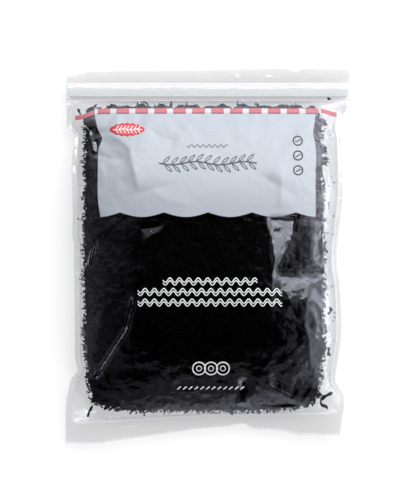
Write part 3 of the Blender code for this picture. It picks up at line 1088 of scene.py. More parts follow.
@dataclass(frozen=True)
class WakameFinish:
    """Dried seaweed: near black, a little paler in patches, with a salty bloom and fine wrinkles."""

    name: str = "dried_wakame_finish"
    dark: Colour = (0.0004, 0.0004, 0.0006)
    pale: Colour = (0.0014, 0.0017, 0.0016)
    salt: Colour = (0.008, 0.008, 0.009)
    patch_size: float = 7.0
    patch_levels: tuple[float, float] = (0.4, 0.65)
    dusty_size: float = 34.0
    dusty_levels: tuple[float, float] = (0.50, 0.62)
    least_dust: float = 0.2
    bloom_size: float = 2.0
    bloom_levels: tuple[float, float] = (0.60, 0.74)
    wrinkle_size: float = 0.7
    wrinkle_depth: float = 0.5
    wrinkle_strength: float = 0.7
    roughness: float = 0.42
    patch_roughness: float = 0.2
    shine: float = 0.02

    def build(self) -> bpy.types.Material:
        """Build the shreds' material.

        Returns:
            The material.
        """
        finish = Finish(self.name)
        hand = finish.hand
        vector, _, _ = finish.place()
        patches = hand.ramp(finish.noise(vector, self.patch_size, 2.0), *self.patch_levels)
        dusty = hand.ramp(finish.noise(vector, self.dusty_size, 1.0), *self.dusty_levels)
        bloom = hand.ramp(finish.noise(vector, self.bloom_size, 4.0, 0.7), *self.bloom_levels)
        dust = hand.math("MULTIPLY_ADD", dusty, 1.0 - self.least_dust, self.least_dust)
        colour = hand.mix_colour(patches, self.dark, self.pale)
        colour = hand.mix_colour(hand.product(bloom, dust), colour, self.salt)
        wrinkles = finish.noise(vector, self.wrinkle_size, 4.0, 0.65)
        rough = hand.math("MULTIPLY_ADD", patches, self.patch_roughness, self.roughness)
        return finish.surface(hand.solid(
            Base_Color=colour, Roughness=rough, Specular_IOR_Level=self.shine,
            Normal=hand.bump(self.wrinkle_strength, self.wrinkle_depth, wrinkles)))


@dataclass(frozen=True)
class ZipFinish:
    """The zip's milky white plastic, which lets some light through, with painted shade in fine grooves
    along it.
    """

    name: str = "zip_finish"
    colour: Colour = (0.96, 0.96, 0.96)
    middle: float = 163.5
    rib_pitch: float = 1.9
    # Painted shade: how far the painted groove shade darkens the white, and the levels where it sets
    # in.
    groove_shade: float = 0.72
    groove_shade_levels: tuple[float, float] = (2.2, 3.6)
    cover: float = 0.9
    roughness: float = 0.28
    milkiness: float = 0.25
    milk_depth: float = 2.0

    def build(self) -> bpy.types.Material:
        """Build the zip strips' material.

        Returns:
            The material.
        """
        finish = Finish(self.name)
        hand = finish.hand
        _, _, y = finish.place()
        # Painted shade: grey rib lines from a few millimetres off the zip's middle outwards stand in
        # for the shade in its grooves.
        away = hand.math("ABSOLUTE", hand.math("SUBTRACT", y, self.middle))
        ribs = hand.math("SINE", hand.product(away, math.pi / self.rib_pitch))
        tone = hand.ramp(hand.product(ribs, away), *self.groove_shade_levels)
        shade = tuple(self.groove_shade * part for part in self.colour)
        strip = hand.solid(
            Base_Color=hand.mix_colour(tone, self.colour, shade), Roughness=self.roughness,
            Subsurface_Weight=self.milkiness, Subsurface_Scale=self.milk_depth * MM)
        clear = hand.node("ShaderNodeBsdfTransparent").outputs[0]
        return finish.surface(hand.mix_shader(self.cover, clear, strip))


@dataclass(frozen=True)
class FloorFinish:
    """The studio's pale floor, a light table that glows a little."""

    name: str = "pale_floor_finish"
    colour: Colour = (0.42, 0.42, 0.42)
    roughness: float = 0.9
    shine: float = 0.1
    glow: float = 0.60

    def build(self) -> bpy.types.Material:
        """Build the floor's material.

        Returns:
            The material.
        """
        finish = Finish(self.name)
        return finish.surface(finish.hand.solid(
            Base_Color=(*self.colour, 1.0), Roughness=self.roughness, Specular_IOR_Level=self.shine,
            Emission_Color=(1.0, 1.0, 1.0, 1.0), Emission_Strength=self.glow))


@dataclass
class Films:
    """The pouch's two films, welded along the sides and the foot."""

    form: PouchForm
    maker: MeshMaker
    weld_cells: int = 3
    pocket_columns: int = 176
    foot_cells: int = 8
    pocket_rows: int = 212
    ridge_cells: int = 3
    header_cells: int = 9
    crowding: float = 0.45
    thickness: float = 0.12

    def spread(self, cells: int) -> np.ndarray:
        """Share out a run in cells that crowd a little at both ends.

        Args:
            cells: How many cells there are.

        Returns:
            The cells' ends, from 0 to 1.
        """
        even = np.linspace(0.0, 1.0, cells + 1)
        crowded = (1.0 - np.cos(math.pi * even)) / 2.0
        return even * (1.0 - self.crowding) + crowded * self.crowding

    def stations(self, runs: Sequence[tuple[int, bool]]) -> np.ndarray:
        """Number the grid lines of joined runs.

        Args:
            runs: Each run's count of cells, and whether they crowd at its ends.

        Returns:
            The lines' places, a whole number where a run ends.
        """
        lines = [np.array([0.0])]
        for number, (cells, crowd) in enumerate(runs):
            share = self.spread(cells) if crowd else np.linspace(0.0, 1.0, cells + 1)
            lines.append(number + share[1:])
        return np.concatenate(lines)

    def sheet(self, name: str, height: Callable[[np.ndarray, np.ndarray], np.ndarray],
              up: bool, stretch: int = 1) -> bpy.types.Object:
        """Make one film.

        Args:
            name: The piece's name.
            height: Gives the height of its inner face.
            up: Whether its wall grows upwards from that face.
            stretch: How many times fewer cells the pocket has.

        Returns:
            The film, with its wall.
        """
        columns = self.stations((
            (self.weld_cells, False), (self.pocket_columns // stretch, True), (self.weld_cells, False)))
        rows = self.stations((
            (self.foot_cells, False), (self.pocket_rows // stretch, True), (self.ridge_cells, False),
            (self.ridge_cells, False), (self.ridge_cells, False), (self.header_cells, False)))
        column, row = np.meshgrid(columns, rows)
        x, y = self.form.film_points(column, row)
        film = self.maker.from_grid(name, x, y, height(x, y))
        if not up:
            film.data.flip_normals()
        thicken(film, self.thickness, 1.0)
        return film

    def build(self) -> list[bpy.types.Object]:
        """Build both films and dress them.

        Returns:
            The front film and the back film.
        """
        front = self.sheet("printed_front_film", self.form.front, up=True)
        dress(front, PrintedFilmFinish().build(), "front_film")
        back = self.sheet("clear_back_film", self.form.back, up=False, stretch=2)
        dress(back, FilmFinish().build(), "back_film")
        return [front, back]


@dataclass(frozen=True)
class InkFinish:
    """Printed ink: an even colour with a faint unevenness of the press."""

    name: str
    colour: Colour
    roughness: float = 0.35
    grain: float = 2.2
    thinning: float = 0.88

    def build(self) -> bpy.types.Material:
        """Build the ink's material.

        Returns:
            The material.
        """
        finish = Finish(self.name)
        vector, _, _ = finish.place()
        tone = finish.hand.ramp(finish.noise(vector, self.grain, 3.0, 0.6), 0.25, 0.75)
        thin = tuple(min(1.0, self.thinning * part + 0.01) for part in self.colour)
        colour = finish.hand.mix_colour(tone, thin, self.colour)
        return finish.surface(finish.hand.solid(Base_Color=colour, Roughness=self.roughness))


class Ink(Enum):
    """The inks of the print."""

    WHITE = InkFinish("white_ink", (0.82, 0.83, 0.84))
    PALE = InkFinish("pale_ink", (0.80, 0.80, 0.81))
    GREY = InkFinish("grey_ink", (0.085, 0.09, 0.10))
    DARK = InkFinish("dark_ink", (0.02, 0.02, 0.025))
    RED = InkFinish("red_ink", (0.56, 0.018, 0.03))


class Print:
    """Ink marks laid on the front film: strokes and filled shapes that follow its folds."""

    stroke_step: float = 1.2
    thickness: float = 0.05
    blade_steps: int = 36
    blade_cells: int = 8
    blade_roundness: float = 0.55
    blade_waves: tuple[float, float] = (0.09, 40.0)
    drop_from: float = 200.0

    def __init__(self, name: str, film: bpy.types.Object, ink: Ink, maker: MeshMaker,
                 lift: float = 0.07) -> None:
        """Start an empty set of marks in one ink.

        Args:
            name: The piece's name.
            film: The film that they are printed on.
            ink: Their ink.
            maker: Makes the object.
            lift: How far they lie over the film.
        """
        self.name = name
        self.ink = ink
        self.maker = maker
        self.lift = lift
        self.points: list[tuple[float, float]] = []
        self.faces: list[tuple[int, ...]] = []
        self.surface = BVHTree.FromObject(film, bpy.context.evaluated_depsgraph_get())

    def stroke(self, path: np.ndarray, width: float, closed: bool = False) -> None:
        """Add a stroke of even width.

        Args:
            path: Its middle line, in photograph pixels.
            width: Its width.
            closed: Whether its ends meet.
        """
        line = np.array([VIEW.place(x, y, FILM_TOP) for x, y in path])
        if closed:
            line = np.vstack((line, line[:1]))
        runs = np.hypot(*np.diff(line, axis=0).T)
        length = np.concatenate(([0.0], np.cumsum(runs)))
        count = max(int(length[-1] / self.stroke_step), 2)
        at = np.linspace(0.0, length[-1], count + 1)
        x = np.interp(at, length, line[:, 0])
        y = np.interp(at, length, line[:, 1])
        if closed:
            way_x = np.roll(x[:-1], -1) - np.roll(x[:-1], 1)
            way_y = np.roll(y[:-1], -1) - np.roll(y[:-1], 1)
            x, y = x[:-1], y[:-1]
        else:
            way_x, way_y = np.gradient(x), np.gradient(y)
        size = np.hypot(way_x, way_y)
        side_x, side_y = -way_y / size * width / 2.0, way_x / size * width / 2.0
        first = len(self.points)
        for px, py, sx, sy in zip(x, y, side_x, side_y):
            self.points.extend(((px - sx, py - sy), (px + sx, py + sy)))
        cells = len(x) if closed else len(x) - 1
        for i in range(cells):
            a = first + 2 * i
            b = first + 2 * ((i + 1) % len(x))
            self.faces.append((a, b, b + 1, a + 1))

    def blade(self, left: float, right: float, level: float, swell: float) -> None:
        """Add a filled leaf with a wavy rim.

        Args:
            left: X of its left tip, in photograph pixels.
            right: X of its right tip.
            level: Y of its middle line.
            swell: Half its width at the middle.
        """
        share = np.linspace(0.0, 1.0, self.blade_steps)
        depth, turns = self.blade_waves
        rim = 1.0 + depth * np.sin(share * turns)
        half = swell * np.sin(math.pi * share) ** self.blade_roundness * rim
        cells = self.blade_cells
        first = len(self.points)
        for part, reach in zip(share, half):
            for cell in range(cells + 1):
                x = left + (right - left) * part
                y = level + (reach + 0.05) * (2.0 * cell / cells - 1.0)
                self.points.append(VIEW.place(x, y, FILM_TOP))
        for step in range(len(share) - 1):
            for cell in range(cells):
                a = first + step * (cells + 1) + cell
                self.faces.append((a, a + cells + 1, a + cells + 2, a + 1))

    def finish_piece(self) -> bpy.types.Object:
        """Lay the marks on the film, give them their ink and make them ride with it.

        Returns:
            The printed piece.
        """
        points = []
        down = Vector((0.0, 0.0, -1.0))
        for x, y in self.points:
            hit, _, _, _ = self.surface.ray_cast(Vector((x, y, self.drop_from)) * MM, down)
            points.append((x, y, hit.z / MM + self.lift))
        piece = self.maker.from_faces(self.name, np.array(points), self.faces)
        thicken(piece, self.thickness, 1.0)
        dress(piece, self.ink.value.build())
        return piece


@dataclass
class FrontPrint:
    """The plain ornaments of the front: waves, a frond, linked rings and a red blade.

    Places are photograph pixels. A wave has its left and right end, its level, its height and its
    period. A double row has its ends and its level, and a linked ring its X, its radius and its width.
    """

    film: bpy.types.Object
    maker: MeshMaker
    double_rows: Triples = ((163.0, 257.0, 281.5), (138.0, 282.0, 292.0), (138.0, 282.0, 302.5))
    row_gap: float = 2.8
    row_wave: tuple[float, float] = (2.3, 9.4)
    linked_rings: Triples = ((199.0, 6.4, 1.1), (199.0, 2.6, 0.8), (211.0, 6.4, 1.1), (211.0, 2.6, 0.8),
                            (223.0, 6.4, 1.1), (223.0, 2.6, 0.8))
    rings_level: float = 369.0
    dash: tuple[float, float] = (3.6, -2.8)
    dash_start: tuple[float, float] = (177.0, 390.6)
    dash_pitch: float = 5.8
    dashes: int = 12
    stem: tuple[float, float, float, float, float] = (159.0, 257.0, 163.0, 1.6, 49.0)
    leaf: tuple[float, float, float] = (7.0, 7.6, 1.3)
    leaf_pitch: float = 8.4
    leaf_pairs: int = 11
    small_wave: tuple[float, float, float, float, float] = (187.0, 228.0, 145.5, 1.5, 5.9)
    dark_levels: tuple[float, ...] = (140.0, 155.0, 170.0)
    dark_ring: tuple[float, float] = (298.5, 4.6)
    blade: tuple[float, float, float, float] = (108.5, 144.5, 128.5, 6.6)
    vein: tuple[float, float] = (3.6, 3.9)
    vein_pitch: float = 3.7
    vein_pairs: int = 7

    @staticmethod
    def wave(left: float, right: float, level: float, height: float, period: float) -> np.ndarray:
        """Draw a wave line, in photograph pixels.

        Args:
            left: X of its left end.
            right: X of its right end.
            level: Y of its middle.
            height: How far it swings to each side.
            period: Length of one wave.

        Returns:
            Rows of X and Y.
        """
        x = np.arange(left, right + 0.5, 0.5)
        return np.stack((x, level + height * np.sin(2.0 * math.pi * (x - left) / period)), axis=1)

    @staticmethod
    def ring(x: float, y: float, radius: float) -> np.ndarray:
        """Draw a circle round a middle, in photograph pixels."""
        turn = np.linspace(0.0, 2.0 * math.pi, 40, endpoint=False)
        return np.stack((x + radius * np.cos(turn), y + radius * np.sin(turn)), axis=1)

    def white_marks(self) -> bpy.types.Object:
        """Print the white rows of waves, the linked rings and the row of dashes.

        Returns:
            The printed piece.
        """
        ink = Print("print_white_waves", self.film, Ink.WHITE, self.maker)
        for left, right, level in self.double_rows:
            for shift in (-self.row_gap / 2.0, self.row_gap / 2.0):
                ink.stroke(self.wave(left, right, level + shift, *self.row_wave), width=0.95)
        for x, radius, width in self.linked_rings:
            ink.stroke(self.ring(x, self.rings_level, radius), width, closed=True)
        start, step = np.array(self.dash_start), np.array(self.dash)
        for number in range(self.dashes):
            corner = start + (self.dash_pitch * number, 0.0)
            ink.stroke(np.array((corner, corner + step)), width=1.1)
        return ink.finish_piece()

    def grey_marks(self) -> bpy.types.Object:
        """Print the thin grey frond across the panel and the small wave over it.

        Returns:
            The printed piece.
        """
        ink = Print("print_grey_frond", self.film, Ink.GREY, self.maker)
        ink.stroke(self.wave(*self.stem), width=1.5)
        left, _, level, height, period = self.stem
        reach, rise, plump = self.leaf
        share = np.linspace(0.0, 1.0, 12)
        swell = plump * np.sin(math.pi * share)
        for number in range(self.leaf_pairs):
            for side in (-1.0, 1.0):
                x = left + 4.0 + self.leaf_pitch * number + (2.0 if side > 0.0 else 0.0)
                root_y = level + height * math.sin(2.0 * math.pi * (x - left) / period)
                spine_x = x + reach * share
                spine_y = root_y + side * rise * share ** 0.8
                for bulge in (-swell, swell):
                    rim = np.stack((spine_x + bulge, spine_y - 0.4 * side * bulge), axis=1)
                    ink.stroke(rim, width=0.9)
        ink.stroke(self.wave(*self.small_wave), width=0.8)
        return ink.finish_piece()

    def dark_marks(self) -> bpy.types.Object:
        """Print the three small dark rings that stand in a column at the right.

        Returns:
            The printed piece.
        """
        ink = Print("print_dark_rings", self.film, Ink.DARK, self.maker)
        x, radius = self.dark_ring
        for y in self.dark_levels:
            ink.stroke(self.ring(x, y, radius), width=1.3, closed=True)
            ink.stroke(self.wave(x - 2.5, x + 3.0, y, 1.3, 5.5), width=1.0)
        return ink.finish_piece()

    def red_blade(self) -> list[bpy.types.Object]:
        """Print the red blade and the pale veins over it.

        Returns:
            The blade and its veins.
        """
        red = Print("print_red_blade", self.film, Ink.RED, self.maker)
        red.blade(*self.blade)
        left, right, level, _ = self.blade
        pale = Print("print_blade_veins", self.film, Ink.PALE, self.maker, lift=0.2)
        pale.stroke(self.wave(left + 3.5, right - 3.0, level, 0.5, 14.0), width=1.1)
        share = np.linspace(0.0, 1.0, 8)
        reach, rise = self.vein
        for number in range(self.vein_pairs):
            vein_x = left + 5.5 + self.vein_pitch * number + reach * share
            for side in (-1.0, 1.0):
                pale.stroke(np.stack((vein_x, level + side * rise * share ** 1.4), axis=1), width=0.8)
        return [red.finish_piece(), pale.finish_piece()]

    def build(self) -> list[bpy.types.Object]:
        """Print every mark."""
        return [self.white_marks(), self.grey_marks(), self.dark_marks(), *self.red_blade()]


class ShredCloud:
    """Scatters shreds over a hidden surface with Geometry Nodes, and gives them back as one mesh."""

    steps: int = 5
    thicknesses: tuple[float, float] = (0.4, 0.8)
    twist: float = 1.9
    curl: float = 0.9
    sway: float = 0.5
    kink: float = 0.25
    raggedness: tuple[float, float] = (0.6, 1.15)
    taper: float = 0.75
    bumps: float = 0.5

    def __init__(self, maker: MeshMaker, variants: int, seed: int, lengths: tuple[float, float],
                 widths: tuple[float, float]) -> None:
        """Make the hidden shapes that the scattered shreds are copies of.

        Args:
            maker: Makes the objects.
            variants: How many unlike shreds to make.
            seed: Seed of their shapes.
            lengths: The shortest and the longest shred.
            widths: The narrowest and the widest.
        """
        self.maker = maker
        self.shapes = bpy.data.collections.new(f"shred_shapes_{seed}")
        rng = random.Random(seed)
        for number in range(variants):
            length, width = rng.uniform(*lengths), rng.uniform(*widths)
            mesh = self.shred_mesh(f"shred_shape_{seed}_{number}", rng, length, width)
            self.shapes.objects.link(bpy.data.objects.new(mesh.name, mesh))

    def shred_mesh(self, name: str, rng: random.Random, length: float, width: float) -> bpy.types.Mesh:
        """Make one crinkled, curled, twisted strip with three sides.

        Args:
            name: The mesh's name.
            rng: Draws its shape.
            length: Its length.
            width: Its width in the middle.

        Returns:
            The closed strip, in metres.
        """
        thickness = rng.uniform(*self.thicknesses)
        twist, curl, sway = (rng.uniform(-most, most) for most in (self.twist, self.curl, self.sway))
        bm = bmesh.new()
        rings = []
        place = Vector((-length / 2.0, 0.0, 0.0))
        for step in range(self.steps + 1):
            share = step / self.steps
            bend = Euler((0.0, curl * (share - 0.5) * 2.0, sway * (share - 0.5) * 2.0))
            along = Vector((1.0, 0.0, 0.0))
            along.rotate(bend)
            roll = Matrix.Rotation(
                twist * (share - 0.5) + rng.uniform(-self.kink, self.kink), 3, along)
            across = roll @ Vector((0.0, 1.0, 0.0))
            crest = roll @ Vector((0.0, 0.0, 1.0))
            taper = (1.0 - abs(2.0 * share - 1.0) ** 3 * self.taper) * rng.uniform(*self.raggedness)
            half = width * taper / 2.0
            corners = (
                place - across * half, place + across * half,
                place + crest * (thickness + rng.uniform(0.0, self.bumps)))
            rings.append([bm.verts.new(corner * MM) for corner in corners])
            place = place + along * (length / self.steps)
        for below, above in zip(rings, rings[1:]):
            for i in range(3):
                j = (i + 1) % 3
                bm.faces.new((below[i], below[j], above[j], above[i]))
        bm.faces.new(rings[0])
        bm.faces.new(rings[-1])
        bmesh.ops.triangulate(bm, faces=bm.faces)
        bmesh.ops.recalc_face_normals(bm, faces=bm.faces)
        mesh = bpy.data.meshes.new(name)
        bm.to_mesh(mesh)
        bm.free()
        return mesh

    def tree(self, material: bpy.types.Material) -> bpy.types.NodeTree:
        """Build the tree that scatters, turns, sizes, realises and dresses the shreds.

        Args:
            material: The shreds' material.

        Returns:
            The tree, with named inputs for its sizes and its seed.
        """
        group = bpy.data.node_groups.new("scatter_shreds", "GeometryNodeTree")
        interface = group.interface
        interface.new_socket("Geometry", in_out="INPUT", socket_type="NodeSocketGeometry")
        for name, usual in (("Spacing", 0.002), ("Density", 90000.0), ("Tilt", 0.4),
                            ("Smallest", 0.7), ("Largest", 1.2)):
            socket = interface.new_socket(name, in_out="INPUT", socket_type="NodeSocketFloat")
            socket.default_value = usual
        interface.new_socket("Seed", in_out="INPUT", socket_type="NodeSocketInt")
        interface.new_socket("Geometry", in_out="OUTPUT", socket_type="NodeSocketGeometry")
        hand = NodeTree(group)
        given = hand.node("NodeGroupInput").outputs
        seed = given["Seed"]
        points = hand.node(
            "GeometryNodeDistributePointsOnFaces", {"distribute_method": "POISSON"},
            Mesh=given["Geometry"], Distance_Min=given["Spacing"], Density_Max=given["Density"],
            Seed=seed)
        shapes = hand.node(
            "GeometryNodeCollectionInfo", Collection=self.shapes, Separate_Children=True,
            Reset_Children=True)
        pick = self.draw(hand, seed, 0, len(self.shapes.objects) - 1, whole=True)
        size = self.draw(hand, seed, given["Smallest"], given["Largest"])
        spin = self.draw(hand, seed, 0.0, 2.0 * math.pi)
        lean = self.draw(hand, seed, hand.product(given["Tilt"], -1.0), given["Tilt"])
        turn = hand.node("ShaderNodeCombineXYZ", X=lean, Y=lean, Z=spin)
        local = hand.node("FunctionNodeEulerToRotation", in_0=turn.outputs[0])
        rotation = hand.node(
            "FunctionNodeRotateRotation", {"rotation_space": "LOCAL"},
            in_0=points.outputs["Rotation"], in_1=local.outputs[0])
        placed = hand.node(
            "GeometryNodeInstanceOnPoints", Points=points.outputs["Points"],
            Instance=shapes.outputs[0], Pick_Instance=True, Instance_Index=pick,
            Rotation=rotation.outputs[0], Scale=size)
        real = hand.node("GeometryNodeRealizeInstances", Geometry=placed.outputs[0])
        dressed = hand.node(
            "GeometryNodeSetMaterial", Geometry=real.outputs[0], Material=material)
        hand.node("NodeGroupOutput", Geometry=dressed.outputs[0])
        return group

    @staticmethod
    def draw(hand: NodeTree, seed: object, low: object, high: object,
             whole: bool = False) -> bpy.types.NodeSocket:
        """Add a Random Value node.

        Args:
            hand: Builds the tree.
            seed: Its seed.
            low: The least value.
            high: The greatest.
            whole: Whether it draws whole numbers.

        Returns:
            The drawn value's socket.
        """
        made = hand.node("FunctionNodeRandomValue", {"data_type": "INT" if whole else "FLOAT"})
        shown = {socket.name: socket for socket in made.inputs if socket.enabled}
        for name, value in (("Min", low), ("Max", high), ("Seed", seed)):
            hand.feed(shown[name], value)
        return made.outputs[2 if whole else 1]

    def scatter(self, name: str, carrier: bpy.types.Object, material: bpy.types.Material,
                **sizes: float) -> bpy.types.Object:
        """Scatter shreds over a carrier, which is used up.

        Args:
            name: The piece's name.
            carrier: The surface that the shreds lie on.
            material: Their material.
            sizes: Values for the tree's named inputs.

        Returns:
            The shreds, as one plain mesh.
        """
        group = self.tree(material)
        scattering = carrier.modifiers.new("scatter", "NODES")
        scattering.node_group = group
        for item in group.interface.items_tree:
            if item.in_out == "INPUT" and item.name in sizes:
                scattering[item.identifier] = sizes[item.name]
        mesh = baked(carrier)
        mesh.name = name
        piece = self.maker.add(name, mesh)
        bpy.data.objects.remove(carrier, do_unlink=True)
        bpy.data.node_groups.remove(group)
        return piece


@dataclass
class Heap:
    """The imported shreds: a dark core, and shreds over its front, its back and its sides."""

    form: PouchForm
    maker: MeshMaker
    left: float = -123.5
    right: float = 115.5
    foot: float = -156.0
    head: float = 149.8
    foot_corner: float = 0.065
    head_corner: float = 0.02
    film_margin: float = 0.35
    shred_depth: float = 2.6
    core_depth: float = 6.5
    core_shrink: float = 2.0
    lobe_draw: float = 0.8
    head_out: float = 2.0
    head_in: float = 2.4
    head_reach: tuple[float, float] = (0.97, 1.0)
    ragged: Triples = ((2.2, 17.0, 41.0), (2.0, 4.5, 43.0))
    lobes: Triples = ((6.0, 14.0, 47.0),)
    mounds: Triples = ((4.2, 10.0, 53.0), (1.0, 4.0, 59.0))
    lobes_from: tuple[float, float] = (0.2, 0.4)
    corner_power: int = 6
    rag_power: int = 8
    cells: tuple[int, int] = (110, 140)
    band_steps: int = 240
    band_depth: float = 3.5
    band_margin: float = 2.0
    ledge_steps: int = 300
    ledge_shrinks: tuple[float, float, float] = (5.0, 1.5, -1.4)
    relief: float = 1.6
    relief_size: float = 6.0
    thinnest: float = 0.05
    pieces: list[bpy.types.Object] = field(default_factory=list)

    def plan(self, a: np.ndarray, b: np.ndarray,
             shrink: float | np.ndarray) -> tuple[np.ndarray, np.ndarray]:
        """Find places over the heap, whose sides are ragged.

        Args:
            a: Shares across it, from -1 to 1.
            b: Shares along it.
            shrink: How far the outline is drawn in.

        Returns:
            X and Y of the places.
        """
        half_x = (self.right - self.left) / 2.0 - shrink
        half_y = (self.head - self.foot) / 2.0 - shrink
        corner = np.where(b > 0.0, self.head_corner, self.foot_corner)
        x = (self.left + self.right) / 2.0 + half_x * a * (1.0 - corner * b ** self.corner_power)
        y = (self.foot + self.head) / 2.0 + half_y * b * (1.0 - corner * a ** self.corner_power)
        ragged = layered(x, y, self.ragged)
        lobes = layered(x, y, self.lobes) - self.lobe_draw
        aside = ragged + smooth_step(*self.lobes_from, b) * (a > 0.0) * lobes
        ahead = np.where(b > 0.0, layered(x, y, self.mounds), ragged)
        return (x + aside * np.sign(a) * np.abs(a) ** self.rag_power,
                y + ahead * np.sign(b) * np.abs(b) ** self.rag_power)

    def rim(self, steps: int, shrink: float) -> tuple[np.ndarray, np.ndarray]:
        """Find places round the heap, drawn in a little more at its head.

        Args:
            steps: How many there are.
            shrink: How far the outline is drawn in.

        Returns:
            X and Y of the places.
        """
        turn = np.linspace(0.0, 2.0 * math.pi, steps, endpoint=False)
        reach = np.maximum(np.abs(np.cos(turn)), np.abs(np.sin(turn)))
        a, b = np.cos(turn) / reach, np.sin(turn) / reach
        return self.plan(a, b, shrink + self.head_in * smooth_step(*self.head_reach, b))

    def shell(self, name: str, depth: float, shrink: float, front: bool,
              head_out: float = 0.0) -> bpy.types.Object:
        """Make the sheet that lies depth behind one of the films.

        Args:
            name: The sheet's name.
            depth: How far behind the film it lies.
            shrink: How far it keeps inside the heap's outline.
            front: Whether it lies behind the front film.
            head_out: How much less it keeps inside at the head.

        Returns:
            The sheet.
        """
        across, along = self.cells
        a, b = np.meshgrid(np.linspace(-1.0, 1.0, across + 1), np.linspace(-1.0, 1.0, along + 1))
        x, y = self.plan(a, b, shrink - head_out * smooth_step(0.85, 1.0, b))
        top = self.form.front(x, y)
        bottom = self.form.back(x, y)
        middle = (top + bottom) / 2.0
        z = np.maximum(top - depth, middle) if front else np.minimum(bottom + depth, middle)
        return self.maker.from_grid(name, x, y, z)

    def side_band(self, name: str) -> bpy.types.Object:
        """Make the upright band round the heap that its side shreds grow from.

        Args:
            name: The band's name.

        Returns:
            The band.
        """
        x, y = self.rim(self.band_steps, self.band_depth)
        top = self.form.front(x, y) - self.band_margin
        bottom = self.form.back(x, y) + self.band_margin
        rings = [np.stack((x, y, bottom + (top - bottom) * share), axis=1) for share in (0.0, 0.5, 1.0)]
        return self.maker.from_rings(name, rings, flip=False)

    def rim_ledge(self, name: str) -> bpy.types.Object:
        """Make the level strip round the heap, half-way between the films, that crumbs lie on.

        Args:
            name: The strip's name.

        Returns:
            The strip.
        """
        rings = []
        for shrink in self.ledge_shrinks:
            x, y = self.rim(self.ledge_steps, shrink)
            rings.append(np.stack((x, y, (self.form.front(x, y) + self.form.back(x, y)) / 2.0), axis=1))
        return self.maker.from_rings(name, rings, flip=True)

    def core(self, material: bpy.types.Material) -> bpy.types.Object:
        """Make the closed dark core, whose relief fills in behind the shreds.

        Args:
            material: The shreds' material.

        Returns:
            The core.
        """
        front, back = (
            self.shell(name, self.core_depth, self.core_shrink, up, self.head_out)
            for name, up in (("heap_core", True), ("heap_core_back", False)))
        back.data.flip_normals()
        bm = bmesh.new()
        bm.from_mesh(front.data)
        bm.from_mesh(back.data)
        rims = [edge for edge in bm.edges if edge.is_boundary]
        bmesh.ops.bridge_loops(bm, edges=rims)
        bmesh.ops.recalc_face_normals(bm, faces=bm.faces)
        bm.normal_update()
        size, height = self.relief_size * MM, self.relief * MM
        moves = [vert.normal * noise.noise(vert.co / size) * height for vert in bm.verts]
        for vert, move in zip(bm.verts, moves):
            vert.co += move
        bm.to_mesh(front.data)
        bm.free()
        bpy.data.objects.remove(back, do_unlink=True)
        front.data.materials.append(material)
        return front

    def keep_inside(self, piece: bpy.types.Object) -> None:
        """Press a piece flat where it would pass through a film.

        Args:
            piece: The piece, whose points are moved.
        """
        count = len(piece.data.vertices)
        flat = np.empty(count * 3, dtype=np.float32)
        piece.data.vertices.foreach_get("co", flat)
        points = flat.reshape(count, 3).astype(float) / MM
        x, y = points[:, 0], points[:, 1]
        low = self.form.back(x, y) + self.film_margin
        high = self.form.front(x, y) - self.film_margin
        points[:, 2] = np.clip(points[:, 2], low, np.maximum(high, low + self.thinnest))
        piece.data.vertices.foreach_set("co", (points * MM).astype(np.float32).ravel())
        piece.data.update()

    def build(self) -> list[bpy.types.Object]:
        """Build the core, the three layers of shreds and the crumbs round them.

        Returns:
            The pieces, with the core first.
        """
        material = WakameFinish().build()
        cloud = ShredCloud(
            self.maker, variants=12, seed=7, lengths=(7.0, 17.0), widths=(2.0, 4.8))
        crumbs = ShredCloud(
            self.maker, variants=12, seed=19, lengths=(2.2, 6.5), widths=(1.0, 3.0))
        self.pieces = [self.core(material)]
        front_carrier = self.shell("front_carrier", self.shred_depth, shrink=1.0, front=True)
        self.pieces.append(cloud.scatter(
            "wakame_front_shreds", front_carrier, material, Seed=3, Spacing=0.0031,
            Density=120000.0, Tilt=0.42))
        back_carrier = self.shell("back_carrier", self.shred_depth, shrink=1.5, front=False)
        back_carrier.data.flip_normals()
        self.pieces.append(cloud.scatter(
            "wakame_back_shreds", back_carrier, material, Seed=5, Spacing=0.0036,
            Density=90000.0, Tilt=0.42))
        self.pieces.append(cloud.scatter(
            "wakame_side_shreds", self.side_band("side_carrier"), material, Seed=9,
            Spacing=0.0030, Density=150000.0, Tilt=0.8, Smallest=0.45, Largest=0.8))
        self.pieces.append(crumbs.scatter(
            "wakame_edge_crumbs", self.rim_ledge("edge_carrier"), material, Seed=13,
            Spacing=0.0015, Density=500000.0, Tilt=0.9, Smallest=0.6, Largest=1.3))
        for piece in self.pieces:
            self.keep_inside(piece)
            dress(piece, node="wakame")
        return self.pieces


